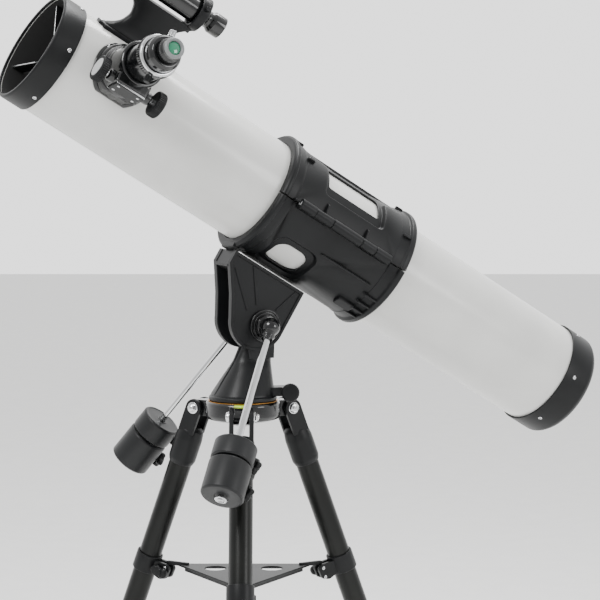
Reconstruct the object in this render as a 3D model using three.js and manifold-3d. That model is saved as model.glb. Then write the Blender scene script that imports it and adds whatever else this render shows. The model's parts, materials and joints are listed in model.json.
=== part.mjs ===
// A reflector telescope on an altazimuth head and a three-legged tripod.
// Millimetres, +Z up. The object stands on its feet with its box centred over the origin.
import * as THREE from "three";
import { mergeVertices } from "three/addons/utils/BufferGeometryUtils.js";
import Module from "manifold-3d";

const wasm = await Module();
wasm.setup();

// ---- Driving dimensions -------------------------------------------------------------
const GAP = 0.3; // between pieces that touch

const TUBE_R = 80;
const TUBE_WALL = 1.2;
const CAP_R = 83;
const FRONT_END = 502; // front rim, ahead of the altitude axis
const REAR_END = -507;
const FRONT_CAP_LENGTH = 36;
const REAR_CAP_LENGTH = 50;

const TILT = THREE.MathUtils.degToRad(31.2); // tube above the horizontal
const HEADING = THREE.MathUtils.degToRad(24.9); // tube turned towards the front leg
const HUB_TOP = 705; // above the ground
const ALTITUDE_HEIGHT = 111; // altitude axis above the hub
const ALTITUDE_SETBACK = 22; // altitude axis behind the azimuth axis
const AXIS_RISE = 168; // tube axis above the altitude axis

const CRADLE_FRONT = 103;
const CRADLE_REAR = -130;
const CRADLE_R = 91;
const CRADLE_RING_R = 95;
const CRADLE_BORE = TUBE_R + 2 * GAP;
const HINGE_R = 100; // hinge pin from the tube axis

const LUG_HALF = 19.5; // half thickness of the column's top lug
const CHEEK_THICKNESS = 12;
const ROD_R = 5;
const ROD_LENGTH = 292;
const ROD_SPLAY = THREE.MathUtils.degToRad(27);
const ROD_OFFSET = 50; // rod root from the middle plane
const WEIGHT_R = 31;
const WEIGHT_LENGTHS = [31, 53];
const WEIGHT_START = 202; // down the rod from its root

const HUB_R = 55;
const HUB_HEIGHT = 26;
const LEVEL_R = 12; // bubble level, let into the hub over the front leg
const LEVEL_Y = -47;
const LEVEL_DEPTH = 6;
const CLAMP_ARM = 70; // azimuth clamp screw, from the azimuth axis
const CLAMP_RISE = 14; // and above the hub
const LEG_PIVOT_R = 76;
const LEG_PIVOT_DROP = 15; // below the hub top
const LEG_SPLAY = THREE.MathUtils.degToRad(21.2);
const LEG_R = 17;
const LEG_WALL = 1.5;
const LEG_TUBE_END = 640;
const LEG_LENGTH = 740;
const COLLAR_AT = 258; // tray collar's middle, down the leg

const FOCUSER_ANGLE = THREE.MathUtils.degToRad(75); // round the tube from its top
const FINDER_ANGLE = THREE.MathUtils.degToRad(20);
const VANE_ANGLE = THREE.MathUtils.degToRad(-20);
const FOCUSER_X = FRONT_END - 112;
const SECONDARY_X = FOCUSER_X;

// ---- Geometry helpers ---------------------------------------------------------------
function signedVolume(positions, triangles) {
  const [a, b, c] = [new THREE.Vector3(), new THREE.Vector3(), new THREE.Vector3()];
  let volume = 0;
  for (let i = 0; i < triangles.length; i += 3) {
    a.fromArray(positions, 3 * triangles[i]);
    b.fromArray(positions, 3 * triangles[i + 1]);
    c.fromArray(positions, 3 * triangles[i + 2]);
    volume += a.dot(b.cross(c));
  }
  return volume;
}

function toSolid(geometry) {
  const bare = geometry.clone();
  bare.deleteAttribute("normal");
  bare.deleteAttribute("uv");
  const merged = mergeVertices(bare, 1e-4);
  const positions = Float32Array.from(merged.attributes.position.array);
  const triangles = [];
  const index = merged.index.array;
  for (let i = 0; i < index.length; i += 3) {
    const [a, b, c] = [index[i], index[i + 1], index[i + 2]];
    if (a !== b && b !== c && c !== a) triangles.push(a, b, c);
  }
  if (signedVolume(positions, triangles) < 0) triangles.reverse();
  const triVerts = Uint32Array.from(triangles);
  return new wasm.Manifold(new wasm.Mesh({ numProp: 3, vertProperties: positions, triVerts }));
}

function toGeometry(solid) {
  const mesh = solid.getMesh();
  const geometry = new THREE.BufferGeometry();
  geometry.setAttribute("position", new THREE.BufferAttribute(mesh.vertProperties, 3));
  geometry.setIndex(new THREE.BufferAttribute(mesh.triVerts, 1));
  return geometry;
}

function combine(first, others, operation) {
  let solid = toSolid(first);
  for (const other of others) solid = solid[operation](toSolid(other));
  return toGeometry(solid);
}

const join = (first, ...others) => combine(first, others, "add");
const cut = (first, ...others) => combine(first, others, "subtract");

// A solid of revolution about Z from [radius, z] points; it starts and ends on the axis.
function turned(points, segments = 16) {
  const profile = points.map(([radius, z]) => new THREE.Vector2(radius, z));
  return new THREE.LatheGeometry(profile, segments).rotateX(Math.PI / 2);
}

// The same, with its axis along X.
const turnedX = (points, segments) => turned(points, segments).rotateY(Math.PI / 2);

// The same, with its axis along Y.
const turnedY = (points, segments) => turned(points, segments).rotateX(-Math.PI / 2);

const barrel = (radius, from, to) => [[0, from], [radius, from], [radius, to], [0, to]];

// A ring's section, closed on itself.
const ringSection = (inner, outer, from, to) =>
  [[inner, from], [outer, from], [outer, to], [inner, to], [inner, from]];

function block(size, middle) {
  return new THREE.BoxGeometry(...size).translate(...middle);
}

function slab(points, thickness) {
  const shape = new THREE.Shape(points.map(([x, y]) => new THREE.Vector2(x, y)));
  return new THREE.ExtrudeGeometry(shape, { depth: thickness, bevelEnabled: false });
}

// Part of a round shell about X, between two angles measured from +Z towards +Y.
function shellPart(inner, outer, fromDegrees, toDegrees, xLow, xHigh, steps = 20) {
  const [start, end] = [fromDegrees, toDegrees].map(THREE.MathUtils.degToRad);
  const shape = new THREE.Shape();
  shape.absarc(0, 0, outer, Math.PI - start, Math.PI - end, true);
  shape.absarc(0, 0, inner, Math.PI - end, Math.PI - start, false);
  const options = { depth: xHigh - xLow, bevelEnabled: false, curveSegments: steps };
  return new THREE.ExtrudeGeometry(shape, options).rotateY(Math.PI / 2).translate(xLow, 0, 0);
}

// Ellipses stacked along Z and joined by a skin: each level is [z, middle x, half x, half y].
function stacked(levels, sides = 20) {
  const positions = [];
  const index = [];
  for (const [z, x, halfX, halfY] of levels) {
    for (let i = 0; i < sides; i++) {
      const angle = (2 * Math.PI * i) / sides;
      positions.push(x + halfX * Math.cos(angle), halfY * Math.sin(angle), z);
    }
  }
  for (let level = 0; level + 1 < levels.length; level++) {
    for (let i = 0; i < sides; i++) {
      const a = level * sides + i;
      const b = level * sides + ((i + 1) % sides);
      index.push(a, b, b + sides, a, b + sides, a + sides);
    }
  }
  const top = (levels.length - 1) * sides;
  for (let i = 1; i + 1 < sides; i++) {
    index.push(0, i + 1, i, top, top + i, top + i + 1);
  }
  const geometry = new THREE.BufferGeometry();
  geometry.setAttribute("position", new THREE.Float32BufferAttribute(positions, 3));
  geometry.setIndex(index);
  return geometry;
}

// A hand knob about Z: round lobes on a hub, over a threaded stem that starts at stemEnd.
function lobedKnob(radius, thickness, lobes, stemR, stemEnd) {
  const outline = new THREE.Shape();
  const steps = lobes * 6;
  for (let i = 0; i < steps; i++) {
    const angle = (2 * Math.PI * i) / steps;
    const reach = radius * (0.86 + 0.14 * Math.cos(lobes * angle));
    const [x, y] = [reach * Math.cos(angle), reach * Math.sin(angle)];
    if (i === 0) outline.moveTo(x, y);
    else outline.lineTo(x, y);
  }
  const head = new THREE.ExtrudeGeometry(outline, { depth: thickness, bevelEnabled: false });
  return join(head, turned(barrel(stemR, stemEnd, thickness / 2), 8));
}

// ---- Materials and naming -----------------------------------------------------------
const finish = (color, roughness, metalness) =>
  new THREE.MeshStandardMaterial({ color, roughness, metalness });
const FINISHES = {
  white: finish(0xe9e9e6, 0.35, 0.0),
  black: finish(0x1b1c1d, 0.5, 0.0),
  leg: finish(0x2b2d2b, 0.4, 0.4),
  chrome: finish(0xd8d8d8, 0.12, 1.0),
  mirror: finish(0xc8d0d8, 0.05, 1.0),
  glass: finish(0x2f8f62, 0.05, 0.0),
  lime: finish(0xb5dc2b, 0.2, 0.0),
};

function piece(parent, name, geometry, look) {
  const mesh = new THREE.Mesh(toGeometry(toSolid(geometry)), FINISHES[look].clone());
  mesh.name = name;
  parent.add(mesh);
  return mesh;
}

function frameIn(parent, place, turn = [0, 0, 0]) {
  const group = new THREE.Group();
  group.position.set(...place);
  group.rotation.set(...turn, "ZYX");
  parent.add(group);
  return group;
}

// ---- Optical tube: +X runs to the open front end ------------------------------------
function addTubeShell(tube) {
  const inner = TUBE_R - TUBE_WALL;
  const seat = 4; // the tube stops this far inside each end cap
  const shell = turnedX(ringSection(inner, TUBE_R, REAR_END + seat, FRONT_END - seat), 40);
  const focuserHole = turned(barrel(31, 60, 100), 20).rotateX(-FOCUSER_ANGLE);
  piece(tube, "optical_tube", cut(shell, focuserHole.translate(FOCUSER_X, 0, 0)), "white");

  const front = [
    [TUBE_R + GAP, FRONT_END - FRONT_CAP_LENGTH],
    [CAP_R, FRONT_END - FRONT_CAP_LENGTH],
    [CAP_R, FRONT_END - 3],
    [CAP_R - 3, FRONT_END],
    [inner - 1, FRONT_END],
    [inner - 1, FRONT_END - seat + GAP],
    [TUBE_R + GAP, FRONT_END - seat + GAP],
    [TUBE_R + GAP, FRONT_END - FRONT_CAP_LENGTH],
  ];
  piece(tube, "front_cap", turnedX(front, 64), "black");

  const rear = [
    [TUBE_R + GAP, REAR_END + REAR_CAP_LENGTH],
    [CAP_R, REAR_END + REAR_CAP_LENGTH],
    [CAP_R, REAR_END + 6],
    [CAP_R - 6, REAR_END],
    [inner - 5, REAR_END],
    [inner - 5, REAR_END + seat - GAP],
    [TUBE_R + GAP, REAR_END + seat - GAP],
    [TUBE_R + GAP, REAR_END + REAR_CAP_LENGTH],
  ];
  piece(tube, "rear_cap", turnedX(rear, 64), "black");
}

// Four thin vanes carry the secondary mirror's hub; their front edges slope back to it.
function addSpider(tube) {
  const reach = TUBE_R - TUBE_WALL - GAP;
  const hubFront = FRONT_END - 32;
  let spider = turnedX(barrel(13, hubFront - 14, hubFront), 16);
  for (let i = 0; i < 4; i++) {
    const outline = [[0, hubFront - 12], [0, hubFront - 2], [reach, FRONT_END - 12], [reach, FRONT_END - 28]];
    const vane = slab(outline, 1.6).translate(0, 0, -0.8);
    vane.applyMatrix4(new THREE.Matrix4().makeBasis(
      new THREE.Vector3(0, 0, 1), new THREE.Vector3(1, 0, 0), new THREE.Vector3(0, 1, 0)));
    spider = join(spider, vane.rotateX(-(VANE_ANGLE + (i * Math.PI) / 2)));
  }
  piece(tube, "spider", spider, "black");

  const stalkTop = hubFront - 14 - GAP;
  const stalk = turnedX(barrel(16, SECONDARY_X - 18, stalkTop), 20);
  const mirrorThickness = 5;
  const lightSide = block([100, 60, 60], [0, 0, 30 - mirrorThickness - GAP]);
  lightSide.rotateY(-Math.PI / 4).translate(SECONDARY_X, 0, 0);
  const holder = cut(stalk, lightSide).rotateX(-FOCUSER_ANGLE);
  piece(tube, "secondary_holder", holder, "black");

  const flat = turned(barrel(17, -mirrorThickness, 0), 24).scale(1.41, 1, 1).rotateY(-Math.PI / 4);
  flat.translate(SECONDARY_X, 0, 0).rotateX(-FOCUSER_ANGLE);
  piece(tube, "secondary_mirror", flat, "mirror");
}

// The primary mirror on its cell, pushed by three collimation screws at the rear end.
function addPrimary(tube) {
  const cellFront = REAR_END + 24;
  const cell = turnedX([
    [0, cellFront - 8], [TUBE_R - TUBE_WALL - 1, cellFront - 8], [TUBE_R - TUBE_WALL - 1, cellFront + 14],
    [69, cellFront + 14], [69, cellFront], [0, cellFront],
  ], 30);
  let drilled = cell;
  for (let i = 0; i < 3; i++) {
    const angle = (i * 2 * Math.PI) / 3;
    const hole = turnedX(barrel(3.5, cellFront - 12, cellFront + 4), 8);
    drilled = cut(drilled, hole.translate(0, 0, 52).rotateX(angle));
  }
  piece(tube, "mirror_cell", drilled, "black");

  const faceRadius = 2000; // mirror's radius of curvature
  const face = [];
  for (let i = 0; i <= 6; i++) {
    const r = (65 * (6 - i)) / 6;
    face.push([r, cellFront + 19 - (65 * 65 - r * r) / (2 * faceRadius)]);
  }
  const mirror = turnedX([[0, cellFront + 5], [65, cellFront + 5], ...face], 30);
  piece(tube, "primary_mirror", mirror, "mirror");

  for (let i = 0; i < 3; i++) {
    const head = join(
      turnedX(barrel(8, cellFront - 17, cellFront - 8 - GAP), 12),
      turnedX(barrel(3, cellFront - 10, cellFront + 4), 8));
    head.translate(0, 0, 52).rotateX((i * 2 * Math.PI) / 3);
    piece(tube, `collimation_screw_${i + 1}`, head, "black");
  }
}

// ---- Focuser: its own frame has +Z out along the drawtube and +X along the tube ------
const FOCUS_BORE = 27.5;
const DRAWTUBE_R = 27;
const BODY_TOP = 142; // above the tube's axis
const COLLAR_TOP = 190;
const PINION_Y = 34;
const PINION_Z = 126;

function addFocuser(tube) {
  const focuser = frameIn(tube, [FOCUSER_X, 0, 0], [-FOCUSER_ANGLE, 0, 0]);

  const flange = cut(
    turned([[0, 60], [46, 60], [46, 88], [40, 94], [36, 106], [33, BODY_TOP], [0, BODY_TOP]], 24),
    block([120, 20, 60], [0, 49, 70]),
    block([120, 20, 60], [0, -49, 70]),
    turnedX(barrel(TUBE_R + 2 * GAP, -80, 80), 40),
    turned(barrel(FOCUS_BORE, 50, 160), 20));
  const housing = cut(
    block([52, 22, 32], [0, PINION_Y - 3, PINION_Z - 1]),
    turned(barrel(FOCUS_BORE, 50, 160), 20),
    turnedX(barrel(6.5, -40, 40), 12).translate(0, PINION_Y, PINION_Z));
  const shaftWay = turnedX(barrel(6.5, -26, 26), 12).translate(0, PINION_Y, PINION_Z);
  piece(focuser, "focuser_body", cut(join(flange, housing), shaftWay), "black");

  const cover = block([44, 3, 28], [0, PINION_Y + 8 + 1.5 + GAP, PINION_Z - 1]);
  piece(focuser, "pinion_cover", cover, "black");

  const knob = [[0, 0], [18, 0], [19, 1.5], [19, 11.5], [17, 14], [0, 14]];
  const knobs = join(
    turnedX(barrel(3.5, -44, 44), 12),
    turnedX(knob, 20).translate(40, 0, 0),
    turnedX(knob, 20).rotateY(Math.PI).translate(-40, 0, 0));
  piece(focuser, "focus_knobs", knobs.translate(0, PINION_Y, PINION_Z), "black");

  const draw = cut(
    turned(barrel(DRAWTUBE_R, 66, COLLAR_TOP - 14), 20),
    turned(barrel(25.2, 60, 200), 20));
  piece(focuser, "drawtube", draw, "black");
  const collarSection = [
    [25.3, COLLAR_TOP - 14 + GAP], [30.5, COLLAR_TOP - 14 + GAP], [30.5, COLLAR_TOP],
    [25.3, COLLAR_TOP], [25.3, COLLAR_TOP - 14 + GAP],
  ];
  const collarHole = turned(barrel(2.6, 20, 40), 8).rotateX(Math.PI / 2);
  const collar = cut(turned(collarSection, 40), collarHole.translate(0, 0, COLLAR_TOP - 7));
  piece(focuser, "drawtube_collar", collar, "black");

  const adapter = turned([
    [16.2, COLLAR_TOP - 20], [24.5, COLLAR_TOP - 20], [24.5, COLLAR_TOP + GAP],
    [25, COLLAR_TOP + GAP], [25, COLLAR_TOP + 14], [22, COLLAR_TOP + 19], [16.2, COLLAR_TOP + 19],
    [16.2, COLLAR_TOP - 20],
  ], 24);
  const screwWay = turned(barrel(2.2, 14, 40), 8).rotateX(Math.PI / 2);
  screwWay.rotateZ(Math.PI).translate(0, 0, COLLAR_TOP + 8);
  piece(focuser, "eyepiece_adapter", cut(adapter, screwWay), "black");

  const eyepiece = cut(
    turned([
      [0, COLLAR_TOP - 4], [15.8, COLLAR_TOP - 4], [15.8, COLLAR_TOP + 19.3], [17, COLLAR_TOP + 19.3],
      [17, COLLAR_TOP + 30], [14.5, COLLAR_TOP + 33], [14.5, COLLAR_TOP + 42], [0, COLLAR_TOP + 42],
    ], 20),
    turned(barrel(9.5, COLLAR_TOP - 10, COLLAR_TOP + 60), 16));
  piece(focuser, "eyepiece", eyepiece, "black");
  const lens = turned([
    [0, COLLAR_TOP + 33], [9.2, COLLAR_TOP + 33], [9.2, COLLAR_TOP + 39],
    [5, COLLAR_TOP + 40.2], [0, COLLAR_TOP + 40.6],
  ], 16);
  piece(focuser, "eye_lens", lens, "glass");

  const screw = join(turned(barrel(1.9, 16.6, 30), 8), turned(barrel(5, 27, 37), 12));
  screw.rotateX(Math.PI / 2).rotateZ(Math.PI).translate(0, 0, COLLAR_TOP + 8);
  piece(focuser, "adapter_thumbscrew", screw, "chrome");
  const lock = join(turned(barrel(2.2, 25.6, 36), 8), turned(barrel(5, 32, 42), 12));
  lock.rotateX(Math.PI / 2).translate(0, 0, COLLAR_TOP - 7);
  piece(focuser, "drawtube_thumbscrew", lock, "black");
}

// ---- Finder: a flared foot and two rings carry a small straight telescope ------------
const FINDER_RISE = 168; // finder axis above the tube axis
function addFinder(tube) {
  const finder = frameIn(tube, [FOCUSER_X - 12, 0, 0], [-FINDER_ANGLE, 0, 0]);
  const stalk = cut(
    stacked([
      [70, 0, 66, 17], [84, 0, 66, 17], [88, 0, 56, 14], [96, 0, 40, 10], [112, 0, 33, 9],
      [132, 0, 40, 10], [142, 0, 56, 12], [146, 0, 56, 12],
    ], 24),
    turnedX(barrel(TUBE_R + 2 * GAP, -90, 90), 40));
  const ring = ringSection(21, 26, -7, 7);
  const bracket = join(
    stalk,
    turnedX(ring, 40).translate(48, 0, FINDER_RISE),
    turnedX(ring, 40).translate(-48, 0, FINDER_RISE));
  piece(finder, "finder_bracket", bracket, "black");

  const body = turnedX([
    [14, -88], [16, -88], [16, -70], [12.5, -66], [12.5, -62], [17, -56], [17, 60], [20, 64], [20, 92],
    [18, 92], [18, 66], [15, 60], [15, -54], [10.5, -60], [10.5, -66], [14, -72], [14, -88],
  ], 20);
  piece(finder, "finder_tube", body.translate(0, 0, FINDER_RISE), "black");
}

// ---- Cradle: two moulded half shells round the tube, hinged at +Y ---------------------
const LATCH_Y = -111; // clamp screws, on the side away from the hinge
function knuckle(xLow, xHigh) {
  return turnedX(barrel(8, xLow, xHigh), 12).translate(0, HINGE_R, 0);
}

function halfShell(fromDegrees, toDegrees) {
  const skin = shellPart(CRADLE_BORE, CRADLE_R, fromDegrees, toDegrees, CRADLE_REAR, CRADLE_FRONT);
  const front = shellPart(
    CRADLE_BORE + 1, CRADLE_RING_R, fromDegrees, toDegrees, CRADLE_FRONT - 12, CRADLE_FRONT - 1);
  const rear = shellPart(
    CRADLE_BORE + 1, CRADLE_RING_R, fromDegrees, toDegrees, CRADLE_REAR + 1, CRADLE_REAR + 12);
  return join(skin, front, rear);
}

function addCradle(tube) {
  const split = 0.5; // degrees left open at each joint line
  const pinWay = turnedX(barrel(3.5, -110, 90), 8).translate(0, HINGE_R, 0);
  const latch = block([30, 30, 11], [0, -104, 6.5]);
  const upperWeb = block([54, 12, 5], [-13, 93, 4]);
  const upper = cut(
    join(
      halfShell(-90 + split, 90 - split),
      knuckle(-40, 14),
      upperWeb,
      latch.clone().translate(60, 0, 0),
      latch.clone().translate(-90, 0, 0)),
    shellPart(70, 110, 24, 70, -78, 36),
    shellPart(70, 110, -70, -24, -78, 36),
    pinWay,
    turned(barrel(3.5, 0, 20), 8).translate(60, LATCH_Y, 0),
    turned(barrel(3.5, 0, 20), 8).translate(-90, LATCH_Y, 0));
  piece(tube, "cradle_upper", upper, "black");

  const lowerLatch = block([30, 30, 11], [0, -104, -6.5]);
  const lowerWebs = [block([57, 12, 5], [43.5, 93, -4]), block([53, 12, 5], [-67.5, 93, -4])];
  const lower = cut(
    join(
      halfShell(90 + split, 270 - split),
      knuckle(14 + GAP, 72),
      knuckle(-94, -40 - GAP),
      ...lowerWebs,
      lowerLatch.clone().translate(60, 0, 0),
      lowerLatch.clone().translate(-90, 0, 0)),
    shellPart(70, 110, 112, 150, -4, 62),
    shellPart(70, 110, 210, 248, -4, 62),
    pinWay,
    turned(barrel(5.5, -20, 0), 12).translate(60, LATCH_Y, 0),
    turned(barrel(5.5, -20, 0), 12).translate(-90, LATCH_Y, 0));
  piece(tube, "cradle_lower", lower, "black");

  const pin = turnedX(barrel(3.2, -93, 71), 8).translate(0, HINGE_R, 0);
  piece(tube, "cradle_hinge_pin", pin, "chrome");

  for (const [name, x] of [["cradle_knob_front", 60], ["cradle_knob_rear", -90]]) {
    const knob = lobedKnob(13, 12, 5, 3, -24);
    piece(tube, name, knob.translate(x, LATCH_Y, 12.5), "black");
  }
}

// ---- Altitude yoke, axle, rod sockets, rods and weights --------------------------------
function addYoke(tilting) {
  const outline = new THREE.Shape();
  outline.moveTo(-30, 80);
  outline.lineTo(-30, 0);
  outline.absarc(13, 0, 43, Math.PI, 1.88 * Math.PI, false);
  outline.lineTo(96, 52);
  outline.lineTo(96, 92);
  outline.lineTo(-30, 92);
  const width = 2 * (LUG_HALF + GAP + CHEEK_THICKNESS);
  const options = { depth: width, bevelEnabled: false, curveSegments: 12 };
  const solid = new THREE.ExtrudeGeometry(outline, options).translate(0, 0, -width / 2);
  solid.rotateX(Math.PI / 2);
  const slotWidth = 2 * (LUG_HALF + GAP);
  const yoke = cut(
    solid,
    block([160, slotWidth, 130], [20, 0, -19]),
    turnedX(barrel(CRADLE_RING_R + 2 * GAP, -150, 120), 40).translate(0, 0, AXIS_RISE),
    turnedY(barrel(9.3, -60, 60), 16));
  piece(tilting, "altitude_yoke", yoke, "black");

  const axle = turnedY(barrel(9, -LUG_HALF - CHEEK_THICKNESS, LUG_HALF + CHEEK_THICKNESS), 16);
  piece(tilting, "altitude_axle", axle, "chrome");
}

// One side's socket, rod and two weights; side is +1 towards +Y and -1 away from it.
function addCounterweights(tilting, side, name) {
  const face = LUG_HALF + GAP + CHEEK_THICKNESS + GAP;
  const root = frameIn(tilting, [0, side * ROD_OFFSET, 0], [side * -(Math.PI - ROD_SPLAY), 0, 0]);

  const rings = turned([
    [0, face], [24, face], [24, face + 5], [19, face + 5], [19, face + 9], [14, face + 9],
    [14, ROD_OFFSET + 4], [0, ROD_OFFSET + 4],
  ], 20).rotateX(-side * Math.PI / 2);
  const ball = new THREE.SphereGeometry(14, 12, 8).translate(0, side * ROD_OFFSET, 0);
  const neck = turned(barrel(9, 0, 22), 14);
  const rodWay = turned(barrel(ROD_R + GAP, 4, 60), 12);
  const turn = new THREE.Matrix4().makeRotationX(side * -(Math.PI - ROD_SPLAY));
  turn.setPosition(0, side * ROD_OFFSET, 0);
  const socket = cut(join(rings, ball, neck.applyMatrix4(turn)), rodWay.applyMatrix4(turn));
  piece(tilting, `rod_socket_${name}`, socket, "black");

  const rod = turned([[0, 5], [ROD_R, 5], [ROD_R, ROD_LENGTH], [0, ROD_LENGTH]], 12);
  const washer = turned([
    [0, ROD_LENGTH], [9, ROD_LENGTH], [9, ROD_LENGTH + 2], [5, ROD_LENGTH + 5], [0, ROD_LENGTH + 5],
  ], 14);
  piece(root, `counterweight_rod_${name}`, join(rod, washer.translate(0, 0, -1)), "chrome");

  let start = WEIGHT_START;
  WEIGHT_LENGTHS.forEach((length, i) => {
    const body = turned([
      [ROD_R + GAP, start], [WEIGHT_R - 2, start], [WEIGHT_R, start + 2], [WEIGHT_R, start + length - 2],
      [WEIGHT_R - 2, start + length], [ROD_R + GAP, start + length], [ROD_R + GAP, start],
    ], 22);
    const screwZ = start + length / 2;
    const screwTurn = new THREE.Matrix4().makeRotationY(-Math.PI / 2);
    screwTurn.setPosition(0, 0, screwZ);
    const screwWay = turned(barrel(3.5, 4, 40), 8).applyMatrix4(screwTurn);
    piece(root, `counterweight_${name}_${i + 1}`, cut(body, screwWay), "black");
    const knob = lobedKnob(12, 11, 4, 3, -WEIGHT_R + ROD_R).translate(0, 0, WEIGHT_R + 2);
    piece(root, `weight_knob_${name}_${i + 1}`, knob.applyMatrix4(screwTurn), "black");
    start += length + 2;
  });
}

// ---- Azimuth column: turns on the tripod hub -------------------------------------------
const CLAMP_TURN = Math.PI / 2 - HEADING; // round the column, from the tube's own left
function columnShape() {
  const back = -ALTITUDE_SETBACK;
  const cone = stacked([
    [GAP, 0, 50, 50], [7, 0, 50, 50], [8, 0, 47, 47], [20, -2, 41, 41], [38, -12, 31, 26],
    [50, -19, 24, 18.5], [56, back, 21, 18], [ALTITUDE_HEIGHT, back, 21, 18],
  ], 22);
  const lug = turnedY(barrel(22, -LUG_HALF, LUG_HALF), 18).translate(back, 0, ALTITUDE_HEIGHT);
  const web = block([40, 2 * LUG_HALF, 60], [back, 0, ALTITUDE_HEIGHT - 30]);
  const clampArm = block([26, 40, 13], [0, CLAMP_ARM - 13, CLAMP_RISE]).rotateZ(CLAMP_TURN);
  const screwWay = turnedX(barrel(3.4, -40, 40), 12).translate(0, CLAMP_ARM, CLAMP_RISE);
  screwWay.rotateZ(CLAMP_TURN);
  const column = cut(
    join(cone, lug, web, clampArm),
    turnedY(barrel(9.3, -60, 60), 16).translate(back, 0, ALTITUDE_HEIGHT),
    screwWay,
    turned(barrel(6.3, -5, 34), 12));
  return column;
}

// The clamp screw lies across its arm, with the round hand knob on the front-leg side.
function addAzimuthLock(head) {
  const screw = join(
    turnedX(barrel(3, -10, 22), 12),
    turnedX([[0, 20], [12.2, 20], [13.6, 21.5], [13.6, 32], [12.2, 34], [0, 34]], 24));
  screw.translate(0, CLAMP_ARM, CLAMP_RISE).rotateZ(CLAMP_TURN);
  piece(head, "azimuth_lock_knob", screw, "black");
}

// ---- Tripod hub and legs ----------------------------------------------------------------
const TAB_HALF = 11;
const LEG_ANGLES = [-90, 30, 150].map(THREE.MathUtils.degToRad);

function addHub(tripod) {
  let hub = turned([
    [0, -HUB_HEIGHT - 3], [48, -HUB_HEIGHT - 3], [HUB_R, -HUB_HEIGHT + 2], [HUB_R, -4], [52, -GAP], [0, -GAP],
  ], 30);
  for (const angle of LEG_ANGLES) {
    const tab = block([LEG_PIVOT_R - 30, 2 * TAB_HALF, 24], [(LEG_PIVOT_R + 30) / 2, 0, -LEG_PIVOT_DROP]);
    const nose = turnedY(barrel(12, -TAB_HALF, TAB_HALF), 14).translate(LEG_PIVOT_R, 0, -LEG_PIVOT_DROP);
    hub = join(hub, tab.rotateZ(angle), nose.rotateZ(angle));
  }
  for (const angle of LEG_ANGLES) {
    const bolt = turnedY(barrel(5, -20, 20), 8).translate(LEG_PIVOT_R, 0, -LEG_PIVOT_DROP);
    hub = cut(hub, bolt.rotateZ(angle));
  }
  const levelSeat = turned(barrel(LEVEL_R + GAP, -LEVEL_DEPTH - GAP, 10), 24).translate(0, LEVEL_Y, 0);
  hub = cut(hub, turned(barrel(6.3, -60, 10), 12), levelSeat);
  piece(tripod, "tripod_hub", hub, "black");
  const level = turned(barrel(LEVEL_R, -LEVEL_DEPTH, -0.8), 24);
  piece(tripod, "bubble_level", level.translate(0, LEVEL_Y, 0), "lime");
}

// A leg's own frame has its pivot at the origin and +Z down the leg; +X faces the middle.
function addLeg(tripod, number) {
  const angle = LEG_ANGLES[number - 1];
  const spot = [LEG_PIVOT_R * Math.cos(angle), LEG_PIVOT_R * Math.sin(angle), -LEG_PIVOT_DROP];
  const leg = frameIn(tripod, spot, [0, Math.PI - LEG_SPLAY, angle]);
  const earInner = TAB_HALF + GAP;
  const earOuter = earInner + 6;
  const bore = turned(barrel(LEG_R - LEG_WALL, 40, LEG_LENGTH), 16);

  const ear = join(
    turnedY(barrel(13, earInner, earOuter), 14),
    block([26, 6, 42], [0, (earInner + earOuter) / 2, 20]));
  const bolt = turnedY([
    [0, -26], [6, -26], [7, -24], [7, -earOuter + 0.2], [4, -earOuter + 0.2], [4, earOuter - 0.2],
    [7, earOuter - 0.2], [7, 24], [6, 26], [0, 26],
  ], 12);
  const socket = turned([[0, 34], [18, 34], [20.5, 40], [20.5, 84], [19, 90], [0, 90]], 20);
  const collar = turned(barrel(20, COLLAR_AT - 14, COLLAR_AT + 14), 20);
  const clamp = block([34, 20, 22], [28, 0, COLLAR_AT]);
  const lockRing = turned(barrel(20, LEG_TUBE_END - 42, LEG_TUBE_END), 20);
  const lockBoss = block([14, 14, 18], [-22, 0, LEG_TUBE_END - 20]);
  const upper = cut(
    join(
      turned(barrel(LEG_R, 60, LEG_TUBE_END - 10), 20),
      socket, ear, ear.clone().translate(0, -earInner - earOuter, 0), collar, clamp, lockRing, lockBoss, bolt),
    bore,
    block([26, 7, 40], [33, 0, COLLAR_AT]),
    turned(barrel(3.4, 0, 60), 8).rotateY(-Math.PI / 2).translate(0, 0, LEG_TUBE_END - 20),
    turnedY(barrel(3.4, -20, 30), 8).translate(33, 0, COLLAR_AT));
  piece(leg, `leg_${number}_upper`, upper, "leg");

  const lowerR = LEG_R - LEG_WALL - 0.5;
  const foot = LEG_LENGTH + 8;
  const lowerTube = turned([
    [0, 330], [lowerR, 330], [lowerR, LEG_LENGTH - 34], [18, LEG_LENGTH - 34], [19, foot], [0, foot],
  ], 18);
  const underFloor = block([100, 100, 60], [0, 0, 30]).rotateY(LEG_SPLAY).translate(0, 0, LEG_LENGTH);
  const lower = cut(lowerTube, underFloor);
  piece(leg, `leg_${number}_lower`, lower, "leg");

  const lockKnob = lobedKnob(15, 12, 3, 3, -13).rotateY(-Math.PI / 2);
  piece(leg, `leg_lock_${number}`, lockKnob.translate(-30, 0, LEG_TUBE_END - 20), "black");

  const trayKnob = lobedKnob(14, 9, 2, 3, -8).rotateX(-Math.PI / 2);
  piece(leg, `tray_knob_${number}`, trayKnob.translate(33, 12, COLLAR_AT), "black");
}

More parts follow.
